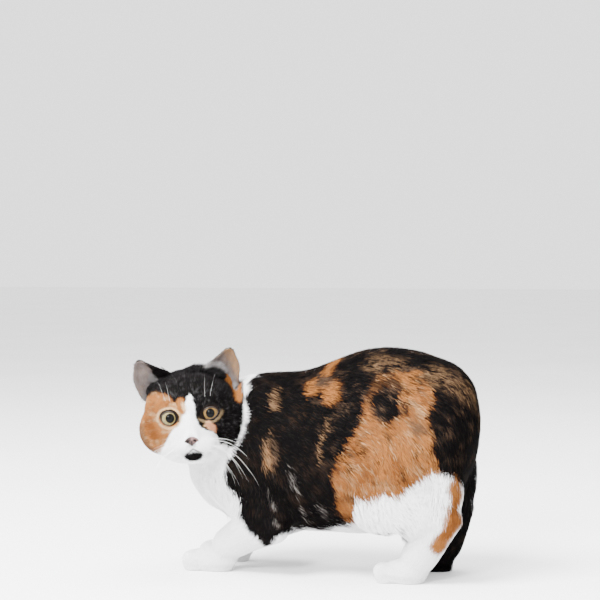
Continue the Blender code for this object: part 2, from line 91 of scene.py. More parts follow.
# How far the skin is pressed in, and how wide: along the lips, from nose to mouth, and between the toes
LIP_PRESS, LIP_WIDTH = 0.0016, 0.0011
GROOVE_PRESS, GROOVE_WIDTH = 0.0010, 0.0008
TOE_PRESS, TOE_WIDTH = 0.0020, 0.0010
NOSE_SEAT = 0.0034
# Lids: how thick the lower one lies on the eye, how much more the upper one, and the depth of its crease
LID_THICK, UPPER_LID_MORE, LID_CREASE = 0.0009, 0.0006, 0.0006

# On body, head, face, legs and paws: depth of the coat, and length, width and colour's stray of a tuft
COAT_DEPTHS = (0.0042, 0.0022, 0.0010, 0.0018, 0.0009)
TUFT_LENGTHS = (0.0135, 0.0080, 0.0032, 0.0075, 0.0042)
TUFT_WIDTHS = (0.00066, 0.00052, 0.00034, 0.00052, 0.00042)
TUFT_STRAYS = (0.0016, 0.0010, 0.0004, 0.0010, 0.0008)

# Limbs below the elbow and the hock, on the folded body: place along it, offset from MIDDLE, height
FORE_LIMB = ((-0.135, 0.031, 0.014), (-0.089, 0.031, 0.029), (-0.059, 0.040, 0.047), (-0.031, 0.048, 0.058))
HIND_LIMB = ((0.080, 0.038, 0.013), (0.127, 0.038, 0.027), (0.155, 0.043, 0.074))

# Each paw: its heel's place along the body and offset from MIDDLE, its length, and its toes' distance apart
PAWS = (
    (-0.0890, -0.031, 0.058, 0.0073), (-0.0920, 0.031, 0.058, 0.0073),
    (0.1270, -0.038, 0.054, 0.0075), (0.1410, 0.038, 0.054, 0.0075),
)

# The lie of the coat on the folded body: a place, and the way that the hair points
LIE = (
    ((-0.080, 0.000, 0.205), (1.0, 0.0, -0.1)),
    ((-0.095, 0.035, 0.170), (0.8, 0.2, -0.6)),
    ((-0.150, 0.010, 0.120), (0.1, 0.0, -1.0)),
    ((-0.090, 0.000, 0.055), (0.8, 0.0, -0.5)),
    ((-0.075, 0.060, 0.120), (0.35, 0.0, -0.9)),
    ((-0.045, 0.040, 0.190), (0.9, 0.2, -0.4)),
    ((-0.035, 0.060, 0.070), (0.1, 0.0, -1.0)),
    ((-0.060, 0.045, 0.046), (-0.8, 0.0, -0.5)),
    ((-0.085, 0.032, 0.030), (-0.7, 0.0, -0.6)),
    ((-0.125, 0.031, 0.020), (-1.0, 0.0, -0.25)),
    ((0.030, 0.000, 0.230), (1.0, 0.0, 0.0)),
    ((0.000, 0.055, 0.160), (0.85, 0.0, -0.5)),
    ((0.050, 0.065, 0.150), (0.9, 0.0, -0.45)),
    ((0.010, 0.055, 0.075), (0.8, 0.0, -0.6)),
    ((0.030, 0.000, 0.043), (1.0, 0.0, 0.0)),
    ((0.110, 0.055, 0.185), (0.8, 0.0, -0.6)),
    ((0.110, 0.068, 0.130), (0.5, 0.0, -0.85)),
    ((0.070, 0.066, 0.090), (0.45, 0.0, -0.9)),
    ((0.115, 0.064, 0.075), (0.7, 0.0, -0.7)),
    ((0.155, 0.055, 0.080), (-0.1, 0.0, -1.0)),
    ((0.140, 0.040, 0.045), (-0.5, 0.0, -0.85)),
    ((0.095, 0.038, 0.020), (-1.0, 0.0, -0.25)),
    ((0.140, 0.000, 0.240), (1.0, 0.0, -0.3)),
    ((0.180, 0.000, 0.200), (0.3, 0.0, -1.0)),
    ((0.180, 0.030, 0.120), (-0.2, 0.0, -1.0)),
)
# The lie of the coat on the folded head, in the head's frame
HEAD_LIE = (
    ((0.000, -0.056, -0.016), (0.00, 0.3, 1.0)),
    ((0.000, -0.040, 0.020), (0.00, 0.5, 1.0)),
    ((0.000, 0.000, 0.050), (0.00, 1.0, 0.0)),
    ((0.014, -0.048, -0.008), (0.9, 0.4, 0.1)),
    ((0.022, -0.040, 0.014), (0.35, 0.5, 0.85)),
    ((0.024, -0.042, -0.014), (0.9, 0.5, -0.2)),
    ((0.040, -0.030, -0.014), (0.7, 0.8, -0.2)),
    ((0.056, -0.005, -0.015), (0.2, 0.9, -0.4)),
    ((0.044, -0.018, 0.014), (0.5, 0.8, 0.3)),
    ((0.013, -0.058, -0.032), (0.9, 0.4, -0.1)),
    ((0.024, -0.045, -0.036), (0.8, 0.7, -0.3)),
    ((0.000, -0.054, -0.046), (0.0, 0.5, -0.8)),
    ((0.028, -0.020, -0.046), (0.4, 0.8, -0.5)),
    ((0.034, 0.004, 0.036), (0.3, 0.6, 0.7)),
    ((0.030, 0.045, 0.010), (0.0, 0.4, -0.9)),
    ((0.000, 0.045, 0.030), (0.0, 0.8, -0.5)),
)

# Coat colours
BLACK = (0.0017, 0.0013, 0.0014)
GLINT = (0.0075, 0.0062, 0.0058)
BROWN = (0.0550, 0.0330, 0.0200)
TAN = (0.1250, 0.0720, 0.0360)
ASH = (0.1600, 0.1430, 0.1300)
ORANGE = (0.1850, 0.0700, 0.0190)
DEEP_ORANGE = (0.0950, 0.0300, 0.0075)
CREAM = (0.4400, 0.3050, 0.1650)
PINK_CREAM = (0.3600, 0.1600, 0.0850)
GREY = (0.0450, 0.0435, 0.0440)
WHITE = (0.7700, 0.7600, 0.7700)
LID_BROWN = (0.0060, 0.0040, 0.0030)
EAR_PINK = (0.0700, 0.0570, 0.0530)

# Where the white of breast and throat ends: along the body at each height
WHITE_FRONT = (
    (0.000, 0.0333, 0.042, 0.050, 0.066, 0.081, 0.0955, 0.109,
     0.122, 0.1355, 0.1495, 0.168, 0.184, 0.198, 0.212),
    (-0.020, -0.0336, -0.044, -0.0554, -0.0638, -0.0640, -0.0790, -0.0840,
     -0.0820, -0.0710, -0.0655, -0.0635, -0.0638, -0.0615, -0.0660),
)
# Height of the white's upper edge at each place along the body, on the left side and on the right
WHITE_LEFT = (
    (-0.060, -0.035, -0.020, 0.025, 0.045, 0.060, 0.067, 0.1145, 0.1325, 0.1555, 0.167, 0.174, 0.190),
    (0.050, 0.034, 0.046, 0.052, 0.057, 0.066, 0.0880, 0.0960, 0.1100, 0.120, 0.115, 0.100, 0.080),
)
WHITE_RIGHT = (
    (-0.060, -0.035, -0.020, 0.030, 0.060, 0.090, 0.115, 0.128, 0.150, 0.190),
    (0.050, 0.036, 0.046, 0.050, 0.052, 0.054, 0.030, 0.000, -0.020, -0.020),
)
# Orange patches, as outlines along and up the body
FLANK = (
    (0.0718, 0.196), (0.0783, 0.215), (0.0980, 0.220), (0.1204, 0.2236), (0.1425, 0.2046), (0.1402, 0.1832),
    (0.1447, 0.1536), (0.1491, 0.1267), (0.1599, 0.1152), (0.1334, 0.1083), (0.1204, 0.0954),
    (0.0895, 0.0914), (0.0674, 0.0882), (0.0592, 0.0635), (0.0497, 0.0635), (0.0409, 0.086),
    (0.0387, 0.113), (0.0497, 0.1267), (0.0539, 0.1445), (0.0696, 0.1683),
)
FLANK_HOLE = (
    (0.0745, 0.194), (0.0885, 0.2085), (0.109, 0.2035), (0.1125, 0.178), (0.1000, 0.1690), (0.0815, 0.172),
)
RIGHT_FLANK = (
    (0.020, 0.200), (0.050, 0.214), (0.085, 0.200), (0.096, 0.165), (0.078, 0.128), (0.045, 0.108),
    (0.030, 0.130), (0.012, 0.155),
)
RIGHT_SHOULDER = ((-0.058, 0.176), (-0.036, 0.188), (-0.020, 0.160), (-0.030, 0.118), (-0.055, 0.122))
RIGHT_RUMP = ((0.128, 0.204), (0.158, 0.190), (0.168, 0.145), (0.150, 0.115), (0.132, 0.150))
# Small patches: colour, strength, radius and the places that each runs through
SPOTS = (
    (ORANGE, 0.95, 0.0078, ((0.0055, -0.0102, 0.2080), (0.0095, -0.0140, 0.2020))),
    (ORANGE, 0.90, 0.0072, ((0.0191, -0.0016, 0.2208), (0.0250, 0.0110, 0.2290))),
    (ORANGE, 0.95, 0.0092, ((0.0290, -0.0200, 0.2040), (0.0330, -0.0270, 0.1940))),
    (BROWN, 0.70, 0.0070, ((0.0120, -0.0080, 0.2150), (0.0250, -0.0140, 0.2080))),
    (TAN, 0.85, 0.0055, ((-0.0290, -0.0143, 0.2010), (-0.0320, -0.0200, 0.1870))),
    (TAN, 0.95, 0.0052, ((-0.0345, -0.0340, 0.1580), (-0.0358, -0.0348, 0.1350), (-0.0365, -0.0350, 0.1140))),
    (ORANGE, 0.70, 0.0026, ((-0.0358, -0.0348, 0.1450), (-0.0370, -0.0350, 0.1180))),
    (BROWN, 0.75, 0.0040, ((-0.0270, -0.0350, 0.1500), (-0.0270, -0.0360, 0.1150))),
    (TAN, 0.85, 0.0026, ((0.0300, -0.0360, 0.1740), (0.0265, -0.0380, 0.1610), (0.0245, -0.0430, 0.1280))),
    (ASH, 0.65, 0.0015, ((-0.0095, -0.0380, 0.1180), (0.0010, -0.0338, 0.0847), (0.0055, -0.0150, 0.0560))),
    (ASH, 0.45, 0.0026, ((-0.0330, -0.0370, 0.1070), (-0.0290, -0.0370, 0.0920), (-0.0270, -0.0370, 0.0760))),
    (ASH, 0.35, 0.0020, ((-0.0300, -0.0390, 0.0660), (-0.0180, -0.0400, 0.0560))),
    (ASH, 0.35, 0.0022, ((0.0220, -0.0300, 0.0820), (0.0320, -0.0220, 0.0600))),
    (BROWN, 0.80, 0.0075, ((0.1260, -0.0382, 0.1720), (0.1320, -0.0382, 0.1620))),
    (ORANGE, 1.00, 0.0105, ((0.1690, -0.0300, 0.1060), (0.1713, -0.0240, 0.0900), (0.1680, -0.0300, 0.0700))),
    (ORANGE, 1.00, 0.0090, ((0.1680, -0.0300, 0.0700), (0.1600, -0.0290, 0.0520), (0.1530, -0.0290, 0.0400))),
    (DEEP_ORANGE, 0.70, 0.0050,
     ((0.1713, -0.0240, 0.0900), (0.1680, -0.0300, 0.0700), (0.1600, -0.0290, 0.0520))),
    (BROWN, 0.60, 0.0040, ((0.1155, -0.0396, 0.0554), (0.1165, -0.0396, 0.0554))),
    (ORANGE, 0.90, 0.0110, ((0.1200, 0.0400, 0.2350), (0.1350, 0.0560, 0.2200))),
)
# Ticked places, where tan hairs mix with the black: strength, radius and the places that each runs through
TICKED = (
    (0.75, 0.0200, ((0.0760, -0.0080, 0.2330), (0.0960, -0.0100, 0.2290))),
    (0.90, 0.0210, ((0.1420, -0.0055, 0.2200), (0.1600, -0.0040, 0.2120), (0.1770, 0.0060, 0.1980))),
)
# Where the cheek ends and the neck shows behind it, on the head's left side: across the head at each height
CHEEK_END = (
    (-0.0560, -0.0480, -0.0380, -0.0175, 0.0036, 0.0140, 0.0260),
    (0.0300, 0.0385, 0.0450, 0.0530, 0.0580, 0.0600, 0.0600),
)
# Patches of the face across and up the head's front, as outlines, and the line of the cheek's dark rim
ORANGE_CHEEK = (
    (-0.018, 0.021), (-0.024, 0.026), (-0.034, 0.028), (-0.046, 0.026), (-0.062, 0.020),
    (-0.064, -0.010), (-0.060, -0.032), (-0.044, -0.038), (-0.036, -0.034), (-0.030, -0.027),
    (-0.026, -0.020), (-0.020, -0.014), (-0.012, -0.008), (-0.009, 0.000), (-0.011, 0.010), (-0.014, 0.016),
)
CHEEK_BLOTCH = (
    (-0.0480, -0.0020), (-0.0425, 0.0010), (-0.0385, -0.0060), (-0.0350, -0.0170), (-0.0420, -0.0200),
    (-0.0490, -0.0130),
)
CHEEK_RIM = ((-0.0570, -0.0060), (-0.0535, -0.0190), (-0.0470, -0.0320), (-0.0400, -0.0390))
WHITE_FACE = (
    (0.0015, 0.023), (0.004, 0.020), (0.0062, 0.010), (0.0066, 0.000), (0.008, -0.012),
    (0.015, -0.0175), (0.0225, -0.0205), (0.0265, -0.0255), (0.0285, -0.0345), (0.042, -0.0400),
    (0.060, -0.046), (0.050, -0.070), (-0.050, -0.070), (-0.060, -0.046), (-0.046, -0.040),
    (-0.036, -0.034), (-0.030, -0.027), (-0.026, -0.020), (-0.020, -0.014), (-0.012, -0.009),
    (-0.008, -0.002), (-0.003, 0.010), (-0.002, 0.019),
)
# Spots and lines of the face, in the head's frame: colour, strength, radius and path
FACE_SPOTS = (
    (ORANGE, 0.95, 0.0045, ((-0.0088, -0.042, 0.0170), (-0.0060, -0.045, 0.0060))),
    (CREAM, 0.70, 0.0030, ((-0.0060, -0.045, 0.0180), (-0.0035, -0.045, 0.0080))),
    (CREAM, 0.85, 0.0026, ((0.0140, -0.046, -0.0130), (0.0190, -0.044, -0.0175))),
    (PINK_CREAM, 0.95, 0.0044, ((0.0190, -0.045, -0.0125), (0.0235, -0.043, -0.0165))),
    (BLACK, 1.00, 0.0054, ((-0.0080, -0.056, -0.0430), (0.0060, -0.056, -0.0435))),
    (BLACK, 0.80, 0.0034, ((0.0105, -0.045, 0.0080), (0.0120, -0.047, -0.0110))),
    (GREY, 0.60, 0.0009, ((-0.0235, -0.020, 0.0380), (-0.0190, -0.028, 0.0310), (-0.0150, -0.035, 0.0225))),
    (GREY, 0.60, 0.0008, ((0.0090, -0.036, 0.0240), (0.0150, -0.032, 0.0300), (0.0240, -0.027, 0.0320))),
    (GREY, 0.50, 0.0008, ((0.0110, -0.038, 0.0200), (0.0180, -0.035, 0.0240), (0.0280, -0.030, 0.0250))),
    (ORANGE, 0.95, 0.0080, ((0.0440, 0.012, 0.0320), (0.0510, 0.010, 0.0220), (0.0530, -0.003, 0.0110))),
    (ORANGE, 0.90, 0.0110, ((-0.0300, 0.036, 0.0260), (-0.0200, 0.046, 0.0120))),
)

# Tufts: how many are tried, the most in one piece, how far their ways fan out and their roots sink
# on the coat and on the ears, and each one's faces, painted light and shade and patch of the bake map
COAT_TUFTS = 236000
PIECE_TUFTS = 32000
TUFT_FAN, ROOT_SINK = 0.16, 0.0004
SPIKE_FAN, SPIKE_SINK = 0.18, 0.0003
TUFT_FACES = np.array(((1, 0, 4), (2, 1, 4), (0, 2, 4), (0, 1, 3), (1, 2, 3), (2, 0, 3)))
# Painted light and shade down a tuft's points: sides darker than the top, a darker root (partly the
# undercoat, partly painted shade) and a lighter tip as painted light
TUFT_PAINTED_LIGHT = np.array((0.95, 1.00, 0.95, 0.78, 1.06))
TUFT_PATCH = np.array(((-0.0010, 0.0), (0.0, 0.0010), (0.0010, 0.0), (0.0, -0.0012), (0.0, 0.0018)))
# Coat pieces, and the places along the body where chest, side and rump meet and where the hind legs begin
REGIONS = (
    "head_left", "head_right", "fore_legs", "hind_legs", "chest_left", "chest_right",
    "side_left", "side_right", "rump_left", "rump_right",
)
CHEST_END, SIDE_END, HIND_START = -0.045, 0.065, 0.02
BODY_AXIS = 0.135

# Eyes, nose, ears and whiskers
CORNEA_BULGE = 0.0005
RIM_STEPS, RIM_WIDEN, RIM_OUT, RIM_THICK, UPPER_RIM_MORE = 72, 1.03, 0.0005, 0.00042, 0.00042
PUPIL = (0.43, 0.47)
IRIS_STOPS = {
    RIGHT: (
        (0.34, (0.065, 0.050, 0.020)), (0.55, (0.165, 0.140, 0.066)),
        (0.74, (0.140, 0.122, 0.064)), (0.82, (0.008, 0.006, 0.005)),
    ),
    LEFT: (
        (0.34, (0.065, 0.036, 0.012)), (0.55, (0.135, 0.085, 0.033)),
        (0.72, (0.088, 0.056, 0.025)), (0.80, (0.008, 0.006, 0.005)),
    ),
}
NOSE_RADII, NOSE_TILT = (0.0078, 0.0042, 0.0050), math.radians(-16)
# The nostrils' near-black is painted shade, for the depth of their holes: its reach and colour
NOSTRIL_PLACE, NOSTRIL_SIZE, NOSTRIL_SHADE_REACH = (0.0036, -0.0001), (0.0013, 0.0010), (0.0016, 0.0012)
NOSTRIL_PRESS, WING_PRESS, PARTING_PRESS = 0.0026, 0.0012, 0.0006
NOSE_PINK, NOSE_DARK, NOSTRIL_SHADE_COLOUR = (0.125, 0.072, 0.068), (0.010, 0.006, 0.005), (0.002, 0.001, 0.001)
EAR_FACING = math.radians(14)
EAR_TIP = (0.052, 0.008, 0.075)
EAR_TAN = (0.125, 0.095, 0.076)
EAR_HAIR = (0.23, 0.215, 0.215)
EAR_BACK_HAIRS, EAR_CUP_HAIRS = 6500, 4200
EAR_SINK = 0.0042
# The fur at the inner foot of each ear: the line along which it stands, how far round it, and its hairs
EAR_BASE = (
    (0.0020, 0.003, 0.0480), (0.0120, 0.003, 0.0475), (0.0240, 0.003, 0.0440), (0.0320, 0.002, 0.0400),
)
EAR_BASE_REACH = {LEFT: 0.0095, RIGHT: 0.0095 * 0.7}
EAR_BASE_HAIRS, EAR_BASE_SIZE = {LEFT: 2600, RIGHT: 1400}, {LEFT: 1.0, RIGHT: 0.5}
EAR_BASE_LENGTH, EAR_BASE_WIDTH, EAR_BASE_STAND = 0.0115, 0.0007, 0.0040
# Where each whisker leaves the face, across and up, and its way, downward bend, length and thickness
WHISKERS = (
    (0.0100, -0.0270, (1.0, 0.02, 0.22), 0.30, 0.040, 0.00018),
    (0.0135, -0.0280, (1.0, 0.10, 0.16), 0.45, 0.048, 0.00020),
    (0.0170, -0.0290, (1.0, 0.22, 0.08), 0.55, 0.050, 0.00020),
    (0.0205, -0.0295, (1.0, 0.34, 0.00), 0.60, 0.044, 0.00018),
    (0.0105, -0.0315, (1.0, 0.02, -0.05), 0.60, 0.042, 0.00018),
    (0.0145, -0.0325, (1.0, 0.10, -0.12), 0.80, 0.050, 0.00022),
    (0.0185, -0.0330, (1.0, 0.22, -0.20), 0.80, 0.050, 0.00022),
    (0.0220, -0.0335, (1.0, 0.34, -0.30), 0.70, 0.042, 0.00018),
    (0.0115, -0.0358, (1.0, 0.02, -0.40), 0.70, 0.032, 0.00016),
    (0.0155, -0.0368, (1.0, 0.10, -0.50), 0.80, 0.038, 0.00017),
    (0.0195, -0.0375, (1.0, 0.24, -0.60), 0.70, 0.036, 0.00016),
    (0.0185, 0.0138, (0.05, -0.05, 1.0), -0.30, 0.022, 0.00006),
    (0.0225, 0.0138, (0.30, -0.02, 1.0), -0.30, 0.023, 0.00006),
)

# Camera at the photo's angle: 17 degrees round from the cat's left side and 7 degrees up
VIEW_AZ, VIEW_EL, VIEW_DISTANCE = math.radians(17), math.radians(7), 1.8
TARGET = Vector((-0.009, 0.0222, 0.117)) + Vector(STAND)
TARGET_PIXEL = (305.5, 463.5)
LENS, SENSOR, PICTURE = 97.7, 36.0, 600
SKY_STRENGTH = 2.1
LIGHTS = (
    ("key_light", (-0.9, -1.25, 2.15), 1.1, 290.0),
    ("fill_light", (1.6, -1.5, 0.9), 1.4, 25.0),
    ("top_light", (0.1, 0.4, 2.2), 1.4, 70.0),
    ("catch_light", (-0.09, -1.58, 0.93), 0.36, 60.0),
)


# Numbers and places

def smooth_step(value, low, high):
    """0 below low and 1 above high, smooth between."""
    t = np.clip((value - low) / (high - low), 0.0, 1.0)
    return t * t * (3 - 2 * t)


def fall(value, low, high):
    """1 below low and 0 above high, smooth between."""
    return 1 - smooth_step(value, low, high)


def norms(vectors):
    return np.linalg.norm(vectors, axis=1)


def unit(vectors):
    return vectors / np.maximum(np.linalg.norm(vectors, axis=-1, keepdims=True), 1e-9)


def lattice_noise(points, size, seed):
    """Smooth noise from 0 to 1 at each point, with bumps of about this size."""
    table = np.random.default_rng(seed).random((32, 32, 32))
    scaled = points / size
    low = np.floor(scaled).astype(int)
    part = scaled - low
    part = part * part * (3 - 2 * part)
    total = np.zeros(len(points))
    for corner in np.ndindex(2, 2, 2):
        weight = np.prod(np.where(corner, part, 1 - part), axis=1)
        index = (low + corner) % 32
        total += weight * table[index[:, 0], index[:, 1], index[:, 2]]
    return total


def warped(points, size, reach, seed):
    """Points moved a little by smooth noise, so that the edges of patches wander."""
    moves = np.stack([lattice_noise(points, size, seed + axis) for axis in range(3)], axis=1)
    return points + reach * (2 * moves - 1)


def to_head(points):
    """Points in the head's own frame."""
    return (points - HEAD_PLACE) @ HEAD_TURN


def from_head(points):
    return np.asarray(points) @ HEAD_TURN.T + HEAD_PLACE


def eye_middle(side):
    """The middle of an eye's ball, in the head's frame."""
    return np.array((side * EYE_APART, EYE_DEPTH, 0.0))


def rotated(x, y, angle):
    """Flat places turned about the origin."""
    return x * math.cos(angle) - y * math.sin(angle), x * math.sin(angle) + y * math.cos(angle)


def head_share(points):
    """1 on the head, 0 on the body, smooth between."""
    local = to_head(points)
    reach = norms((local - HEAD_MIDDLE) / HEAD_RADII)
    round_share = fall(reach, 1.02, 1.18)
    front_share = fall(local[:, 1], -0.030, -0.018) * smooth_step(local[:, 2], -0.066, -0.056)
    return np.maximum(round_share, front_share * fall(np.abs(local[:, 0]), 0.060, 0.068))


def path_distance(points, path):
    """How far each point is from a line through the places of a path."""
    nearest = np.full(len(points), 1.0)
    for start, end in zip(np.array(path)[:-1], np.array(path)[1:]):
        along = end - start
        t = np.clip((points - start) @ along / (along @ along), 0, 1)
        nearest = np.minimum(nearest, norms(points - start - t[:, None] * along))
    return nearest


def outline_distance(points, outline):
    """Distance from a closed outline to flat points: negative inside it."""
    inside = np.zeros(len(points), bool)
    for start, end in zip(outline, outline[1:] + outline[:1]):
        crosses = (start[1] > points[:, 1]) != (end[1] > points[:, 1])
        rise = (end[1] - start[1]) or 1e-9
        inside ^= crosses & (points[:, 0] < start[0] + (points[:, 1] - start[1]) * (end[0] - start[0]) / rise)
    nearest = path_distance(points, outline + outline[:1])
    return np.where(inside, -nearest, nearest)


def inside(points, outline, soft):
    """1 inside a closed outline and 0 outside, over a soft edge."""
    return fall(outline_distance(points, outline), -soft, soft)


def folded(body):
    """Both sides of the measured body laid on one: along it, distance from its middle plane, height."""
    return np.stack([body[:, 0], np.abs(body[:, 1] - MIDDLE), body[:, 2]], axis=1)


def limb_share(points):
    """1 on the lower legs and paws, 0 on the body."""
    places = folded(points - STAND)
    near = np.minimum(path_distance(places, FORE_LIMB), path_distance(places, HIND_LIMB))
    return fall(near, 0.021, 0.032) * fall(points[:, 2], 0.060, 0.085)


def toe_grooves(points):
    """1 in the middle of the grooves between the toes, 0 away from them."""
    body = points - STAND
    depth = np.zeros(len(points))
    for heel, offset, length, apart in PAWS:
        across = body[:, 1] - MIDDLE - offset
        ahead = smooth_step((heel - body[:, 0]) / length, 0.52, 0.70) * (body[:, 0] > heel - 1.2 * length)
        nearest = np.minimum(np.abs(across), np.abs(np.abs(across) - apart))
        near = np.exp(-((nearest / TOE_WIDTH) ** 2)) * (np.abs(across) < 1.6 * apart)
        depth = np.maximum(depth, near * ahead * fall(points[:, 2], 0.019, 0.026))
    return depth


def face_share(points):
    """1 on the front of the face, 0 behind the cheeks."""
    return fall(to_head(points)[:, 1], -0.045, -0.012)


def by_place(points, body, head, face, leg, paw):
    """A size that changes smoothly from the body to the head, the face, the legs and the paws."""
    on_head = head + (face - head) * face_share(points)
    on_leg = leg + (paw - leg) * fall(points[:, 2], 0.022, 0.042)
    size = body + (on_leg - body) * limb_share(points)
    return size + (on_head - size) * head_share(points)


def eye_measure(local, side):
    """Below 1 inside an eye's opening and 1 on its edge, and the height over its long axis."""
    half_long, half_tall = EYE_OPENING[side]
    x, z = local[:, 0] - side * EYE_APART, local[:, 2]
    long, tall = rotated(x, z, -side * EYE_SLANT)
    return np.sqrt((long / half_long) ** 2 + np.abs(tall / half_tall) ** 1.74), tall


def eye_edge(points):
    """The smaller of both eyes' measures, 9 away from the front of the head."""
    local = to_head(points)
    measure = np.minimum(eye_measure(local, LEFT)[0], eye_measure(local, RIGHT)[0])
    return np.where((local[:, 1] < EYE_DEPTH + 0.004) & (head_share(points) > 0.5), measure, 9.0)


def mouth_distance(local):
    """How far each place of the face is from the line of the lips, seen from the front."""
    return path_distance(np.stack([np.abs(local[:, 0]), -local[:, 2]], axis=1), MOUTH_LINE)


def coat_depth(points):
    """How far the skin lies under the tips of the coat."""
    depth = by_place(points, *COAT_DEPTHS)
    near_nose = norms(to_head(points) - NOSE_TIP)
    bare = smooth_step(eye_edge(points), 1.3, 2.0) * smooth_step(near_nose, 0.008, 0.014)
    return depth * bare * smooth_step(points[:, 2], 0.0005, 0.006)


# Markings

def paint(colours, colour, amount):
    """A colour laid over others, or over one plain colour, where amount says."""
    return colours + (np.array(colour) - colours) * np.clip(amount, 0, 1)[:, None]


def spots(colours, points, listed, softness):
    for colour, strength, radius, path in listed:
        distance = path_distance(points, path)
        amount = fall(distance, radius * (1 - softness), radius * (1 + softness))
        colours = paint(colours, colour, strength * amount)
    return colours


def tabby(points, colours, amount):
    """Orange fur with paler and deeper ticking, laid where amount says."""
    fine = lattice_noise(points * (0.55, 1, 1), 0.0035, 71)
    broad = lattice_noise(points, 0.012, 72)
    orange = paint(ORANGE, DEEP_ORANGE, smooth_step(broad * 0.6 + fine * 0.4, 0.46, 0.70) * 0.85)
    orange = paint(orange, CREAM, smooth_step(fine, 0.58, 0.86) * 0.34)
    ticks = lattice_noise(points * (0.5, 1, 1), 0.0018, 73)
    orange = paint(orange, BROWN, smooth_step(ticks, 0.58, 0.82) * 0.42)
    return colours + (orange - colours) * np.clip(amount, 0, 1)[:, None]


def body_colours(points):
    """Colours at measured places on the body."""
    streaked = points * (0.7, 1.0, 1.0)
    wander = warped(warped(points, 0.016, 0.0040, 11), 0.0045, 0.0018, 21)
    left = smooth_step(MIDDLE - wander[:, 1], -0.005, 0.005)
    flat = wander[:, [0, 2]]
    mottle = lattice_noise(streaked, 0.007, 31) * 0.6 + lattice_noise(streaked, 0.0025, 32) * 0.4
    upper = smooth_step(points[:, 2], 0.10, 0.19) * smooth_step(points[:, 0], -0.02, 0.06)
    colours = paint(BLACK, BROWN, smooth_step(mottle, 0.58, 0.78) * (0.15 + 0.65 * upper))
    ticks = lattice_noise(streaked, 0.0042, 33) * 0.5 + lattice_noise(streaked, 0.0015, 34) * 0.5
    for strength, radius, line in TICKED:
        near = fall(path_distance(points, line), radius * 0.3, radius)
        colours = paint(colours, TAN, strength * near * smooth_step(ticks, 0.44, 0.66))
    hole = smooth_step(outline_distance(flat, FLANK_HOLE), -0.002, 0.002)
    orange = inside(flat, FLANK, 0.0015) * left * hole
    ragged = warped(wander, 0.022, 0.0100, 15)[:, [0, 2]]
    for outline in (RIGHT_FLANK, RIGHT_SHOULDER, RIGHT_RUMP):
        patch = inside(ragged, outline, 0.0015) * (1 - left)
        orange = np.maximum(orange, patch)
    holes = lattice_noise(streaked, 0.010, 41) * 0.65 + lattice_noise(streaked, 0.003, 42) * 0.35
    torn = 0.66 - 0.17 * smooth_step(points[:, 2], 0.180, 0.205)
    orange = orange * (1 - 0.85 * smooth_step(holes, torn, torn + 0.08))
    colours = tabby(points, colours, orange)
    # Painted shade: the orange is deeper towards the bottom of the flank, where it lies in shade
    colours = paint(colours, DEEP_ORANGE, orange * 0.35 * fall(points[:, 2], 0.085, 0.150))
    edge = np.interp(wander[:, 0], *WHITE_RIGHT)
    outer = smooth_step(MIDDLE - wander[:, 1], 0.002, 0.034)
    edge = edge + (np.interp(wander[:, 0], *WHITE_LEFT) - edge) * outer
    under = fall(wander[:, 2] - edge, -0.0012, 0.0012)
    ends = np.interp(wander[:, 2], *WHITE_FRONT)
    ends = ends + (1 - left) * 0.045 * (lattice_noise(points, 0.026, 45) - 0.62)
    front = fall(wander[:, 0] - ends, -0.0012, 0.0012)
    paws = fall(points[:, 2], 0.028, 0.033) * fall(points[:, 0], 0.118, 0.126)
    paws *= np.where(points[:, 0] > 0.05, left, 1.0)
    colours = paint(colours, WHITE, np.maximum(np.maximum(under, front), paws))
    return spots(colours, wander, SPOTS, 0.35)


def head_colours(local):
    """Colours at places in the head's frame."""
    wander = warped(warped(local, 0.009, 0.0014, 51), 0.0025, 0.0008, 61)
    flat = wander[:, [0, 2]]
    front = fall(local[:, 1], 0.004, 0.014)
    grizzle = lattice_noise(local * (1, 1, 0.6), 0.0016, 81)
    colours = paint(BLACK, GREY, smooth_step(grizzle, 0.60, 0.90) * 0.45)
    cheek = inside(flat, ORANGE_CHEEK, 0.0008) * front
    colours = tabby(local, colours, cheek)
    blotch = inside(flat, CHEEK_BLOTCH, 0.0030)
    rim = fall(path_distance(flat, CHEEK_RIM), 0.0020, 0.0060)
    colours = paint(colours, DEEP_ORANGE, blotch * front * 0.80)
    colours = paint(colours, BROWN, rim * cheek * 0.60)
    white = inside(flat, WHITE_FACE, 0.0008) * front
    jaw = fall(wander[:, 2] + 0.2 * np.abs(wander[:, 0]), -0.046, -0.043)
    colours = paint(colours, WHITE, np.maximum(white, jaw))
    colours = spots(colours, wander, FACE_SPOTS, 0.25)
    near_middle = fall(np.abs(local[:, 0]), 0.006, 0.012)
    lips = fall(mouth_distance(local), 0.0006, 0.0014) * near_middle
    colours = paint(colours, LID_BROWN, lips * (local[:, 1] < -0.036) * 0.8)
    return eye_surrounds(colours, local)


def eye_surrounds(colours, local):
    """Pale rings and dark rims round the eyes."""
    for side in SIDES:
        measure, rise = eye_measure(local, side)
        ahead = local[:, 1] < EYE_DEPTH + 0.004
        ring = smooth_step(measure, 1.20, 1.32) * fall(measure, 1.45, 1.75) * ahead
        below = fall(rise, -0.003, 0.001)
        colours = paint(colours, CREAM, ring * (0.60 if side == RIGHT else 0.30 * below))
        thick = 1.10 + 0.24 * smooth_step(rise, -0.002, 0.005)
        colours = paint(colours, LID_BROWN, fall(measure - thick, -0.05, 0.04) * ahead)
        corner = np.hypot(local[:, 0] - side * 0.0118, local[:, 2] + 0.0034)
        colours = paint(colours, LID_BROWN, fall(corner, 0.0012, 0.0022) * ahead)
    return colours


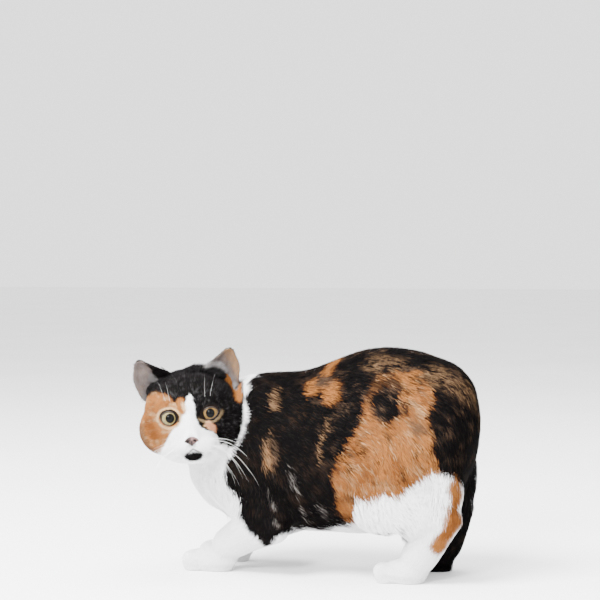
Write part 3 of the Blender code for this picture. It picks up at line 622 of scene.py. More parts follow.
def coat_colours(points):
    """The calico's colour at each point, for skin and tufts alike, with painted shade in the grooves between
    the toes.
    """
    local = to_head(points)
    share = smooth_step(head_share(points), 0.35, 0.65)
    past_cheek = smooth_step(local[:, 0] - np.interp(local[:, 2], *CHEEK_END), -0.0008, 0.0008)
    far_past = smooth_step(local[:, 0] - np.interp(local[:, 2], *CHEEK_END), 0.004, 0.008)
    share *= 1 - past_cheek * np.maximum(smooth_step(local[:, 1], -0.026, -0.021), far_past)
    # Painted shade: darker in the grooves between the toes
    body = body_colours(points - STAND) * (1 - 0.35 * toe_grooves(points))[:, None]
    return body + (head_colours(local) - body) * share[:, None]


# The lie of the coat

def lie_from(places, anchors):
    """Directions at folded places, from the anchors near each."""
    anchor_places = np.array([place for place, way in anchors])
    ways = unit(np.array([way for place, way in anchors]))
    total = np.zeros_like(places)
    for anchor, way in zip(anchor_places, ways):
        distance = np.sum((places - anchor) ** 2, axis=1)
        total += way / (distance[:, None] + 0.00004) ** 2
    return unit(total)


def along_surface(ways, normals):
    """Directions laid flat on the surface."""
    return unit(ways - normals * np.sum(ways * normals, axis=1, keepdims=True))


def lie_of_coat(points, normals):
    """The way that the hair points at each place, along the skin."""
    body = points - STAND
    way = lie_from(folded(body), LIE)
    way[:, 1] *= np.sign(body[:, 1] - MIDDLE)
    local = to_head(points)
    head_way = lie_from(np.stack([np.abs(local[:, 0]), local[:, 1], local[:, 2]], axis=1), HEAD_LIE)
    head_way[:, 0] *= np.sign(local[:, 0])
    way = way + (head_way @ HEAD_TURN.T - way) * head_share(points)[:, None]
    return along_surface(way, normals)


# Meshes

def read_vectors(items, key):
    flat = np.empty(len(items) * 3, dtype=np.float32)
    items.foreach_get(key, flat)
    return flat.reshape(-1, 3).astype(float)


def read_points(obj):
    return read_vectors(obj.data.vertices, "co")


def write_points(obj, points):
    obj.data.vertices.foreach_set("co", np.ascontiguousarray(points, dtype=np.float32).ravel())
    obj.data.update()


def read_normals(obj):
    return read_vectors(obj.data.vertex_normals, "vector")


def press(obj, depth):
    """The points of a mesh moved inwards along their normals."""
    write_points(obj, read_points(obj) - read_normals(obj) * depth[:, None])


def read_triangles(obj):
    obj.data.calc_loop_triangles()
    flat = np.empty(len(obj.data.loop_triangles) * 3, dtype=np.int32)
    obj.data.loop_triangles.foreach_get("vertices", flat)
    return flat.reshape(-1, 3)


def write_colours(obj, colours):
    """Colours as an attribute of the mesh's points."""
    attribute = obj.data.color_attributes.new("coat_colour", "FLOAT_COLOR", "POINT")
    full = np.ones((len(colours), 4), dtype=np.float32)
    full[:, :3] = colours
    attribute.data.foreach_set("color", full.ravel())


def mesh_from(name, points, triangles):
    """A mesh object from arrays of points and triangles."""
    mesh = bpy.data.meshes.new(name)
    mesh.vertices.add(len(points))
    mesh.vertices.foreach_set("co", np.ascontiguousarray(points, dtype=np.float32).ravel())
    mesh.loops.add(len(triangles) * 3)
    mesh.loops.foreach_set("vertex_index", np.ascontiguousarray(triangles, dtype=np.int32).ravel())
    mesh.polygons.add(len(triangles))
    mesh.polygons.foreach_set("loop_start", np.arange(0, len(triangles) * 3, 3, dtype=np.int32))
    mesh.update(calc_edges=True)
    mesh.shade_smooth()
    obj = bpy.data.objects.new(name, mesh)
    bpy.context.scene.collection.objects.link(obj)
    return obj


def pick(*objects):
    """Only these objects are selected, and the last is active."""
    bpy.ops.object.select_all(action="DESELECT")
    for obj in objects:
        obj.select_set(True)
    bpy.context.view_layer.objects.active = objects[-1]


def added(operator, **settings):
    """The object that one of Blender's operators adds, selected alone."""
    bpy.ops.object.select_all(action="DESELECT")
    operator(**settings)
    return bpy.context.active_object


def edit_all(obj, operator, **settings):
    """One of Blender's mesh operators, run on the whole of a mesh."""
    pick(obj)
    bpy.ops.object.mode_set(mode="EDIT")
    bpy.ops.mesh.select_all(action="SELECT")
    operator(**settings)
    bpy.ops.object.mode_set(mode="OBJECT")


def apply_modifier(obj, kind, **settings):
    modifier = obj.modifiers.new(kind.lower(), kind)
    for key, value in settings.items():
        setattr(modifier, key, value)
    pick(obj)
    bpy.ops.object.modifier_apply(modifier=modifier.name)


def merged_copy(names, name):
    """A copy of CAD nodes as one mesh, with its loose triangles merged."""
    copies = []
    for node in names:
        twin = bpy.data.objects.new(node + "_copy", frame["nodes"][node].data.copy())
        bpy.context.scene.collection.objects.link(twin)
        copies.append(twin)
    pick(*copies)
    if len(copies) > 1:
        bpy.ops.object.join()
    joined = bpy.context.view_layer.objects.active
    joined.name = name
    joined.data.materials.clear()
    edit_all(joined, bpy.ops.mesh.remove_doubles, threshold=0.000001)
    return joined


def select_in_edit(obj, chosen, mode):
    """Edit mode, with the chosen points selected, or the faces between them."""
    pick(obj)
    bpy.ops.object.mode_set(mode="EDIT")
    bpy.ops.mesh.select_mode(type="VERT")
    bpy.ops.mesh.select_all(action="DESELECT")
    bpy.ops.object.mode_set(mode="OBJECT")
    obj.data.vertices.foreach_set("select", chosen)
    bpy.ops.object.mode_set(mode="EDIT")
    bpy.ops.mesh.select_mode(type=mode)


# Skin

def build_skin():
    """One closed skin under the coat, from the flesh nodes and the backs of the eyes."""
    skin = merged_copy(FLESH + ["nose"], "skin")
    for side in SIDES:
        ball = added(
            bpy.ops.mesh.primitive_uv_sphere_add,
            segments=32, ring_count=18, radius=EYE_RADIUS - SOCKET_GAP, location=from_head(eye_middle(side)))
        bpy.ops.object.transform_apply(location=True)
        pick(ball, skin)
        bpy.ops.object.join()
    apply_modifier(skin, "DISPLACE", strength=SKIN_SWELL, mid_level=0.0)
    apply_modifier(skin, "REMESH", mode="VOXEL", voxel_size=SKIN_VOXEL, adaptivity=0.0)
    keep_linked(skin)
    apply_modifier(skin, "SMOOTH", factor=0.5, iterations=8)
    points = read_points(skin)
    depth = coat_depth(points) + SKIN_SWELL * smooth_step(points[:, 2], 0.0, 0.004)
    press(skin, depth)
    apply_modifier(skin, "SMOOTH", factor=0.5, iterations=2)
    points = read_points(skin)
    points[:, 2] = np.maximum(points[:, 2], FLOOR_GAP)
    write_points(skin, points)
    thin_skin(skin)
    refine_face(skin)
    shape_lids(skin)
    press_mouth(skin)
    press(skin, TOE_PRESS * toe_grooves(read_points(skin)))
    return skin


def keep_linked(obj):
    """Only the surface that hangs together with the top of the mesh stays."""
    points = read_points(obj)
    select_in_edit(obj, np.arange(len(points)) == np.argmax(points[:, 2]), "VERT")
    bpy.ops.mesh.select_linked()
    bpy.ops.mesh.select_all(action="INVERT")
    bpy.ops.mesh.delete(type="VERT")
    bpy.ops.object.mode_set(mode="OBJECT")


def thin_skin(skin):
    """Fewer triangles away from the face."""
    points = read_points(skin)
    toes = fall(points[:, 2], 0.020, 0.028) * limb_share(points)
    plain = 1 - 0.9 * np.maximum(head_share(points) * face_share(points), toes)
    group = skin.vertex_groups.new(name="plain")
    level_of = np.round(plain * 10).astype(int)
    for level in range(11):
        group.add(np.nonzero(level_of == level)[0].tolist(), level / 10, "REPLACE")
    share = SKIN_TRIANGLES / len(read_triangles(skin))
    apply_modifier(skin, "DECIMATE", ratio=share, vertex_group="plain", vertex_group_factor=1.0)
    skin.vertex_groups.clear()


def refine_face(skin):
    """Finer faces round the eyes and the mouth, for lids and lips."""
    points = read_points(skin)
    local = to_head(points)
    near_mouth = (mouth_distance(local) < 0.004) & (local[:, 1] < -0.035)
    select_in_edit(skin, (eye_edge(points) < 1.9) | near_mouth, "FACE")
    bpy.ops.mesh.subdivide(number_cuts=1, smoothness=0)
    bpy.ops.object.mode_set(mode="OBJECT")


def shape_lids(skin):
    """Lids that lie on the eye's ball round its opening, the upper one thicker and creased."""
    local = to_head(read_points(skin))
    for side in SIDES:
        middle = eye_middle(side)
        out = local - middle
        reach = norms(out)
        near = (reach < 0.020) & (local[:, 1] < EYE_DEPTH + 0.003)
        measure, rise = eye_measure(local, side)
        thick = LID_THICK + UPPER_LID_MORE * smooth_step(rise, -0.003, 0.004)
        lid = EYE_RADIUS - 0.0010 + (0.0010 + thick) * smooth_step(measure, 0.97, 1.14)
        crease = LID_CREASE * np.exp(-(((measure - 1.62) / 0.12) ** 2)) * smooth_step(rise, 0.0, 0.004)
        blend = smooth_step(measure, 1.25, 1.85)
        wanted = lid + (reach - lid) * blend - crease
        local = np.where(near[:, None], middle + out / reach[:, None] * wanted[:, None], local)
    write_points(skin, from_head(local))


def press_mouth(skin):
    """The line of the mouth, the groove from the nose down to it, and the seat of the nose leather."""
    local = to_head(read_points(skin))
    groove = path_distance(local[:, [0, 2]], ((0.0, -0.0300), (0.0, -0.0350)))
    ahead = smooth_step(-local[:, 1], 0.034, 0.042) * (head_share(read_points(skin)) > 0.5)
    inward = LIP_PRESS * np.exp(-((mouth_distance(local) / LIP_WIDTH) ** 2))
    inward += GROOVE_PRESS * np.exp(-((groove / GROOVE_WIDTH) ** 2))
    inward += NOSE_SEAT * fall(norms(local - NOSE_TIP), 0.0045, 0.0072)
    press(skin, inward * ahead)


# Coat

def region_of(points):
    """The number of the coat piece that each root belongs to."""
    local = to_head(points)
    body = points - STAND
    station = np.where(body[:, 0] < CHEST_END, 4, np.where(body[:, 0] < SIDE_END, 6, 8))
    region = station + np.where(body[:, 1] < MIDDLE, 0, 1)
    region = np.where(limb_share(points) > 0.5, np.where(body[:, 0] < HIND_START, 2, 3), region)
    return np.where(head_share(points) > 0.5, np.where(local[:, 0] > 0, 0, 1), region)


def unwrapped(points, region):
    """Each root's place on an unwrap of the skin's shape: round the head, round each leg, round the body."""
    if region.startswith("head"):
        local = to_head(points)
        around = np.arctan2(np.abs(local[:, 0]), -local[:, 1]) / math.pi
        up = 0.5 + np.arctan2(local[:, 2], np.hypot(local[:, 0], local[:, 1])) / math.pi
        return np.stack([around, up], axis=1)
    body = points - STAND
    along = (body[:, 0] - body[:, 0].min()) / np.ptp(body[:, 0])
    if region.endswith("legs"):
        x, offset, z = np.array(FORE_LIMB if region.startswith("fore") else HIND_LIMB).T
        side = np.sign(body[:, 1] - MIDDLE)
        outward = body[:, 1] - MIDDLE - side * np.interp(body[:, 0], x, offset)
        around = np.arctan2(outward, body[:, 2] - np.interp(body[:, 0], x, z)) / (2 * math.pi) + 0.5
        return np.stack([along, around * 0.5 + np.where(side > 0, 0.5, 0.0)], axis=1)
    around = np.arctan2(np.abs(body[:, 1] - MIDDLE), body[:, 2] - BODY_AXIS) / math.pi
    return np.stack([along, around], axis=1)


def tuft_sizes(points):
    """Length and width of a tuft at each place."""
    return by_place(points, *TUFT_LENGTHS), by_place(points, *TUFT_WIDTHS)


def corners_of(points, triangles):
    """The corners of each triangle, and its area."""
    corners = points[triangles]
    spans = np.cross(corners[:, 1] - corners[:, 0], corners[:, 2] - corners[:, 0])
    return corners, norms(spans) / 2


def weighed(corners, normals, weights):
    """A place in each triangle by the weights of its corners, with its normal."""
    weights = weights[:, :, None]
    return (corners * weights).sum(axis=1), unit((normals * weights).sum(axis=1))


def scatter(points, normals, triangles, draw):
    """Roots over the skin, closer where tufts are smaller: their places and normals."""
    corners, area = corners_of(points, triangles)
    length, width = tuft_sizes(corners.mean(axis=1))
    wanted = area / (length * width)
    count = np.floor(wanted * COAT_TUFTS / wanted.sum() + draw.random(len(wanted))).astype(int)
    chosen = np.repeat(np.arange(len(triangles)), count)
    a, b = draw.random(len(chosen)), draw.random(len(chosen))
    over = a + b > 1
    a, b = np.where(over, 1 - a, a), np.where(over, 1 - b, b)
    return weighed(corners[chosen], normals[triangles[chosen]], np.stack([1 - a - b, a, b], axis=1))


def bare_places(roots):
    """True where no hair grows: eyes, nose leather, lips and soles."""
    local = to_head(roots)
    on_head = head_share(roots) > 0.5
    lips = (mouth_distance(local) < 0.0007) & (np.abs(local[:, 0]) < 0.008) & (local[:, 1] < -0.036) & on_head
    leather = (local - NOSE_TIP) / (0.0078, 0.0060, 0.0052)
    nose = (norms(leather) < 1.0) & on_head
    return (eye_edge(roots) < 1.16) | lips | nose | (roots[:, 2] < 0.0012)


def settle(surface, places, height):
    """Places brought to a height over the skin."""
    settled = np.empty_like(places)
    for i, place in enumerate(places):
        near, normal, face, distance = surface.find_nearest(Vector(place))
        settled[i] = np.array(near) + np.array(normal) * height[i]
    return settled


def five_points(roots, normals, across, middle, tip, width, sink):
    """Five points for each tuft: three round its middle, its root and its tip."""
    half = (width / 2)[:, None]
    ring = [middle - across * half, middle + normals * half * 0.7, middle + across * half]
    return np.stack([*ring, roots - normals * sink, tip], axis=1)


def tuft_shapes(roots, normals, surface, draw):
    """The tufts of the coat, bent along the skin."""
    length, width = tuft_sizes(roots)
    count = len(roots)
    way = lie_of_coat(roots, normals)
    way = unit(way + np.cross(normals, way) * draw.normal(0, TUFT_FAN, count)[:, None])
    across = np.cross(normals, way)
    length = length * draw.uniform(0.65, 1.15, count)
    depth = coat_depth(roots) + 0.0003
    lift = draw.uniform(0.45, 1.0, count)
    middle = settle(surface, roots + way * (length * 0.42)[:, None], depth * (0.25 + 0.35 * lift))
    tip = settle(surface, roots + way * length[:, None], depth * lift)
    width = width * draw.uniform(0.75, 1.2, count)
    shapes = five_points(roots, normals, across, middle, tip, width, ROOT_SINK)
    shapes[:, :, 2] = np.maximum(shapes[:, :, 2], FLOOR_GAP)
    return shapes


def tuft_colours(shapes, draw):
    """Each tuft's own colour: the marking under its middle, dithered, and a little lighter or darker."""
    places = (shapes[:, 3] + shapes[:, 4]) / 2
    count = len(places)
    strays = by_place(places, *TUFT_STRAYS)[:, None]
    colours = coat_colours(places + draw.normal(0, 1, (count, 3)) * strays)
    pale = smooth_step(colours.min(axis=1), 0.20, 0.60)
    spread = draw.uniform(-1, 1, count) * (0.20 - 0.13 * pale)
    dark = fall(colours.max(axis=1), 0.01, 0.05)
    # Painted glints: a tenth of the black tufts a little lighter, as painted sheen
    colours = paint(colours, GLINT, 0.8 * dark * (draw.random(count) < 0.10))
    return colours * (1 + spread)[:, None]


def soften(piece, shapes, normals):
    """Shading that follows the skin, with each tuft only a little rounded."""
    across = unit(shapes[:, 2] - shapes[:, 0]) * 0.45
    soft = np.stack([normals - across, normals, normals + across, normals, normals], axis=1)
    piece.data.normals_split_custom_set_from_vertices(unit(soft).reshape(-1, 3).tolist())


def coat_piece(name, region, roots, shapes, colours):
    """One coat piece: its tufts' mesh, colours with painted light and shade down each tuft, fainter on pale
    tufts, and bake map.
    """
    count = len(roots)
    triangles = (TUFT_FACES[None] + 5 * np.arange(count)[:, None, None]).reshape(-1, 3)
    piece = mesh_from(name, shapes.reshape(-1, 3), triangles)
    pale = smooth_step(colours.min(axis=1), 0.20, 0.60)[:, None]
    tuft_light_and_shade = 1 + (TUFT_PAINTED_LIGHT - 1) * (1 - 0.7 * pale)
    write_colours(piece, np.clip(colours[:, None, :] * tuft_light_and_shade[:, :, None], 0, 0.95).reshape(-1, 3))
    places = (unwrapped(roots, region)[:, None, :] * 0.99 + 0.005 + TUFT_PATCH[None]).reshape(-1, 2)
    bake_map = piece.data.uv_layers.new(name="OFBake")
    bake_map.data.foreach_set("uv", places[triangles.ravel()].astype(np.float32).ravel())
    return piece


def surface_of(obj):
    return BVHTree.FromPolygons(read_points(obj).tolist(), read_triangles(obj).tolist())


def build_coat(skin, surface):
    """The coat over the whole skin, in pieces by region."""
    draw = np.random.default_rng(7)
    roots, root_normals = scatter(read_points(skin), read_normals(skin), read_triangles(skin), draw)
    keep = ~bare_places(roots)
    roots, root_normals = roots[keep], root_normals[keep]
    shapes = tuft_shapes(roots, root_normals, surface, draw)
    colours = tuft_colours(shapes, draw)
    region = region_of(roots)
    pieces = []
    for number, word in enumerate(REGIONS):
        mine = np.nonzero(region == number)[0]
        mine = mine[np.argsort(roots[mine, 2])]
        parts = np.array_split(mine, math.ceil(len(mine) / PIECE_TUFTS))
        for part, chosen in enumerate(parts):
            name = f"coat_{word}_{part + 1}"
            pieces.append(coat_piece(name, word, roots[chosen], shapes[chosen], colours[chosen]))
            soften(pieces[-1], shapes[chosen], root_normals[chosen])
    return pieces


# Eyes, nose, ears and whiskers

def round_primitive(name, segments, rings):
    """A ball of radius 1 at the origin, whose pole looks along -Y."""
    ball = added(
        bpy.ops.mesh.primitive_uv_sphere_add,
        segments=segments, ring_count=rings, radius=1.0, rotation=(math.pi / 2, 0, 0))
    ball.name = name
    bpy.ops.object.transform_apply(rotation=True)
    return ball


def build_eye(side):
    """An eye's ball with its clear bulge in front."""
    eye = round_primitive("eye_ball_" + SIDES[side], 64, 40)
    around = read_points(eye)
    bulge = smooth_step(-around[:, 1], math.cos(math.radians(48)), 1.0) * CORNEA_BULGE
    write_points(eye, from_head(eye_middle(side) + around * (EYE_RADIUS + bulge)[:, None]))
    eye.data.shade_smooth()
    eye.data.materials.append(eye_finish(side))
    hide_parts("eye_" + SIDES[side])
    return eye


def ring_tube(centres, outward, radii, sides=8):
    """Points and faces of a closed tube that runs round through centres."""
    ahead = unit(np.roll(centres, -1, axis=0) - np.roll(centres, 1, axis=0))
    across = unit(np.cross(ahead, outward))
    turns = np.arange(sides) * 2 * math.pi / sides
    rings = [centres + (outward * math.cos(t) + across * math.sin(t)) * radii[:, None] for t in turns]
    return np.stack(rings, axis=1).reshape(-1, 3), tube_faces(len(centres), sides, True)


def tube_faces(rings, sides, closed):
    """Triangles between rings of points."""
    triangles = []
    for ring in range(rings if closed else rings - 1):
        after = (ring + 1) % rings
        for k in range(sides):
            a, b = ring * sides + k, ring * sides + (k + 1) % sides
            c, d = after * sides + k, after * sides + (k + 1) % sides
            triangles += [(a, b, d), (a, d, c)]
    return np.array(triangles)


def build_lid_rim(side):
    """The wet dark edge of the lids, round the opening on the eye's ball."""
    half_long, half_tall = EYE_OPENING[side]
    angles = np.arange(RIM_STEPS) * 2 * math.pi / RIM_STEPS
    long = RIM_WIDEN * half_long * np.cos(angles)
    tall = RIM_WIDEN * half_tall * np.sign(np.sin(angles)) * np.abs(np.sin(angles)) ** 1.15
    x, z = rotated(long, tall, side * EYE_SLANT)
    reach = EYE_RADIUS + RIM_OUT
    out = np.stack([x, -np.sqrt(reach**2 - x**2 - z**2), z], axis=1)
    radii = RIM_THICK + UPPER_RIM_MORE * smooth_step(tall, -0.001, 0.005)
    points, triangles = ring_tube(out + eye_middle(side), unit(out), radii)
    rim = mesh_from("lid_rim_" + SIDES[side], from_head(points), triangles)
    edit_all(rim, bpy.ops.mesh.normals_make_consistent, inside=False)
    return rim


def nostril(place, side, size):
    """1 on the edge of an oval of this size round a nostril's middle."""
    x, z = NOSTRIL_PLACE
    return np.hypot((place[:, 0] - side * x) / size[0], (place[:, 2] - z) / size[1])


def build_nose():
    """The nose leather: wide and flat above, narrow below, with comma-shaped nostrils."""
    leather = round_primitive("nose_leather", 72, 48)
    around = read_points(leather)
    x, y, z = around.T
    narrow = 0.24 + 0.76 * smooth_step(z, -1.0, 0.30)
    place = np.stack([x * narrow * NOSE_RADII[0], y * NOSE_RADII[1], z * NOSE_RADII[2]], axis=1)
    place[:, 2] -= 0.0008 * np.abs(x) ** 2 * (z > 0)
    front = smooth_step(-y, 0.05, 0.45)
    for side in SIDES:
        hole = nostril(place, side, NOSTRIL_SIZE)
        wing = np.hypot((place[:, 0] - side * 0.0053) / 0.0016, (place[:, 2] + 0.0010) / 0.0006)
        place[:, 1] += front * (NOSTRIL_PRESS * np.exp(-(hole**2)) + WING_PRESS * np.exp(-(wing**2)))
    place[:, 1] += front * PARTING_PRESS * np.exp(-((place[:, 0] / 0.0005) ** 2))
    turned = np.stack([place[:, 0], *rotated(place[:, 1], place[:, 2], NOSE_TILT)], axis=1)
    write_points(leather, from_head(turned + NOSE_TIP))
    leather.data.shade_smooth()
    wander = lattice_noise(turned, 0.0018, 91)
    dark = smooth_step(-place[:, 0] + 0.0022 * (wander - 0.5), 0.0002, 0.0014)
    middle = np.exp(-((place[:, 0] / 0.0016) ** 2)) * fall(place[:, 2], -0.0012, 0.0012)
    colours = paint(NOSE_PINK, NOSE_DARK, np.maximum(dark * 0.85, middle))
    # Painted shade: the nostrils near black, for the depth of their holes
    for side in SIDES:
        colours = paint(colours, NOSTRIL_SHADE_COLOUR, np.exp(-(nostril(place, side, NOSTRIL_SHADE_REACH) ** 2)) * 1.3)
    write_colours(leather, colours)
    leather.data.materials.append(leather_finish())
    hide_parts("nose")
    return leather


def ear_front(side):
    """The way that the ear's cup faces."""
    turn = side * EAR_FACING
    return np.array((math.sin(turn), -math.cos(turn), 0.0)) @ HEAD_TURN.T


def build_ear(side, surface):
    """A thin cupped ear, rooted in the skin."""
    ear = merged_copy(["ear_" + SIDES[side]], "ear_shell_" + SIDES[side])
    apply_modifier(ear, "SUBSURF", levels=2, render_levels=2)
    points = read_points(ear)
    for i, place in enumerate(points):
        near, normal, face, distance = surface.find_nearest(Vector(place))
        sunk = EAR_SINK * fall(distance, 0.0030, 0.0070)
        points[i] = place - np.array(normal) * sunk
    write_points(ear, points)
    ear.data.shade_smooth()
    write_colours(ear, ear_colours(points, read_normals(ear), side))
    ear.data.materials.append(ear_finish())
    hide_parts("ear_" + SIDES[side])
    return ear


def ear_colours(points, normals, side):
    """Dim pinkish grey inside, darker at the inner edge and black behind."""
    facing = normals @ ear_front(side)
    local = to_head(points)
    across, up = side * local[:, 0], local[:, 2]
    cloud = lattice_noise(local, 0.006, 95)
    colours = paint(EAR_PINK, EAR_TAN, smooth_step(cloud, 0.35, 0.75) * (0.6 if side == LEFT else 0.3))
    if side == LEFT:
        colours = paint(colours, TAN, smooth_step(across + 0.35 * (up - 0.04), 0.048, 0.055))
    colours = paint(colours, BLACK, ear_inner_edge(local, side) * (0.25 if side == LEFT else 0.90))
    return paint(colours, BLACK, fall(facing, 0.10, 0.55))


def ear_inner_edge(local, side):
    """1 along the ear's inner and upper edge, 0 over the rest of its cup."""
    return smooth_step(local[:, 2] - 1.25 * (side * local[:, 0] - 0.030), 0.042, 0.050)


def build_ear_hair(ears, skin):
    """Short hair on the backs of the ears, hairs over their cups, and fur at their inner feet."""
    draw = np.random.default_rng(17)
    made = []
    for side, ear in ears.items():
        made += [ear_back_hair(ear, side, draw), ear_cup_hair(ear, side, draw)]
        made.append(ear_base_fur(skin, side, draw))
    shapes, colours, roots = (np.concatenate(group) for group in zip(*made))
    piece = coat_piece("ear_hair", "head", roots, shapes, colours)
    soften(piece, shapes, unit(roots - shapes[:, 3]))
    return piece


def spikes(roots, normals, way, length, width, stand, draw):
    """Free hairs, which stand off the surface at their tips."""
    across = unit(np.cross(normals, way))
    way = unit(way + across * draw.normal(0, SPIKE_FAN, len(roots))[:, None])
    middle = roots + way * (length * 0.45)[:, None] + normals * (stand * 0.7)[:, None]
    tip = roots + way * length[:, None] + normals * stand[:, None]
    return five_points(roots, normals, across, middle, tip, width, SPIKE_SINK)


def on_mesh(obj, count, draw, wanted=None):
    """Places spread over a mesh, all of it or where they are wanted, with their normals."""
    points, normals, triangles = read_points(obj), read_normals(obj), read_triangles(obj)
    corners, area = corners_of(points, triangles)
    if wanted is not None:
        area = area * wanted(corners.mean(axis=1))
    chosen = draw.choice(len(triangles), count, p=area / area.sum())
    return weighed(corners[chosen], normals[triangles[chosen]], draw.dirichlet((1, 1, 1), count))


def ear_back_hair(ear, side, draw):
    """Hair that lies towards the tip over the ear's back, and over the right ear's inner edge."""
    roots, normals = on_mesh(ear, EAR_BACK_HAIRS, draw)
    local = to_head(roots)
    edge = (ear_inner_edge(local, side) > draw.uniform(0.1, 0.9, len(roots))) & (side == RIGHT)
    keep = (normals @ ear_front(side) < 0.15) | edge
    roots, normals = roots[keep], normals[keep]
    tip = from_head((side * EAR_TIP[0], EAR_TIP[1], EAR_TIP[2]))
    way = along_surface(tip - roots, normals)
    count = len(roots)
    length = draw.uniform(0.0022, 0.0036, count)
    stand = draw.uniform(0.0003, 0.0009, count)
    made = spikes(roots, normals, way, length, draw.uniform(0.0003, 0.0005, count), stand, draw)
    tint = np.array(BLACK) * draw.uniform(0.8, 2.0, count)[:, None]
    return made, tint, roots


def ear_cup_hair(ear, side, draw):
    """Long hairs from the inner edge of the cup, dim in the right ear, and short down over the rest."""
    roots, normals = on_mesh(ear, EAR_CUP_HAIRS, draw)
    local = to_head(roots)
    inner = smooth_step(-np.abs(local[:, 0]) - 0.45 * (local[:, 2] - 0.045), -0.046, -0.031)
    low = fall(local[:, 2], 0.045, 0.060)
    keep = (normals @ ear_front(side) > 0.30) & (draw.random(len(roots)) < 0.45 + 0.55 * inner * low)
    roots, normals, inner, low = roots[keep], normals[keep], inner[keep], low[keep]
    count = len(roots)
    way = unit(np.array((side * 0.75, -0.25, 0.65)) @ HEAD_TURN.T)
    long = inner * low
    length = draw.uniform(0.7, 1.1, count) * (0.0028 + 0.0090 * long)
    stand = 0.0004 + 0.0032 * long * draw.uniform(0.3, 1.0, count)
    made = spikes(roots, normals, way, length, 0.00026 + 0.00018 * long, stand, draw)
    dim = 1.0 if side == LEFT else 0.34
    tint = paint(np.array(EAR_PINK) * 1.15, np.array(EAR_HAIR) * dim, long)
    tint *= draw.uniform(0.75, 1.15, count)[:, None]
    if side == RIGHT:
        tint[ear_inner_edge(to_head(roots), side) > 0.3] = BLACK
    return made, tint, roots


def ear_base_fur(skin, side, draw):
    """Longer black fur that stands against the inner foot of the ear."""
    path = np.array(EAR_BASE) * (side, 1, 1)
    reach = EAR_BASE_REACH[side]
    roots, normals = on_mesh(
        skin, EAR_BASE_HAIRS[side], draw, lambda places: path_distance(to_head(places), path) < reach)
    count = len(roots)
    close = np.clip(1 - path_distance(to_head(roots), path) / EAR_BASE_REACH[LEFT], 0, 1)
    way = unit(np.array((side * 0.85, 0.10, 0.45)) @ HEAD_TURN.T)
    size = EAR_BASE_SIZE[side] * (0.45 + 0.55 * close) * draw.uniform(0.75, 1.1, count)
    width, stand = EAR_BASE_WIDTH * size**0.5, EAR_BASE_STAND * size
    made = spikes(roots, normals, way, EAR_BASE_LENGTH * size, width, stand, draw)
    tint = paint(BLACK, GREY, draw.uniform(-0.6, 0.5, count))
    return made, tint, roots


def whisker(root, ahead, droop, length, thick):
    """Points and faces of one tapered, bent whisker."""
    steps, sides = 12, 5
    along = np.linspace(0, 1, steps)[:, None]
    path = root + (ahead * along + droop * along**2) * length
    way = unit(np.gradient(path, axis=0))
    across = unit(np.cross(way, (0.0, 0.3, 1.0)))
    up = np.cross(across, way)
    rings = []
    for t in np.arange(sides) * 2 * math.pi / sides:
        rings.append(path + (across * math.cos(t) + up * math.sin(t)) * thick * (1.02 - along))
    points = np.stack(rings, axis=1).reshape(-1, 3)
    triangles = list(tube_faces(steps, sides, False))
    last = (steps - 1) * sides
    triangles += [(0, k + 1, k) for k in range(1, sides - 1)]
    triangles += [(last, last + k, last + k + 1) for k in range(1, sides - 1)]
    return points, np.array(triangles)


def build_whiskers(surface):
    """Whiskers in rows on the pads of the muzzle, and a few over each eye."""
    draw = np.random.default_rng(23)
    points, triangles, count = [], [], 0
    for side in SIDES:
        for x, z, ahead, bend, length, thick in WHISKERS:
            ahead = np.array(ahead) * (side, 1, 1) + draw.normal(0, 0.05, 3)
            start = Vector(from_head((side * x, -0.2, z)))
            found = surface.ray_cast(start, Vector(HEAD_TURN @ (0.0, 1.0, 0.0)))[0]
            root = to_head(np.array([found]))[0] + (0.0, 0.0012, 0.0)
            droop = np.array((-0.25 * side * bend, 0.10, -bend)) + draw.normal(0, 0.05, 3)
            made, faces = whisker(root, unit(ahead), droop, length * draw.uniform(0.85, 1.1), thick)
            points.append(from_head(made))
            triangles.append(faces + count)
            count += len(made)
    whiskers = mesh_from("whiskers", np.concatenate(points), np.concatenate(triangles))
    edit_all(whiskers, bpy.ops.mesh.normals_make_consistent, inside=False)
    whiskers.data.materials.append(whisker_finish())
    return whiskers


# Materials

class Number:
    """A socket with a number, on which arithmetic adds Math nodes."""

    def __init__(self, finish, socket):
        self.finish, self.socket = finish, socket

    def maths(self, operation, *values):
        node = self.finish.node("ShaderNodeMath", {"operation": operation}, dict(enumerate(values)))
        return Number(self.finish, node.outputs[0])

    def __add__(self, other):
        return self.maths("ADD", self, other)

    def __sub__(self, other):
        return self.maths("SUBTRACT", self, other)

    def __mul__(self, other):
        return self.maths("MULTIPLY", self, other)

    def __truediv__(self, other):
        return self.maths("DIVIDE", self, other)

    def __pow__(self, other):
        return self.maths("POWER", self, other)

    def __rsub__(self, other):
        return self.maths("SUBTRACT", other, self)

    __radd__ = __add__
    __rmul__ = __mul__


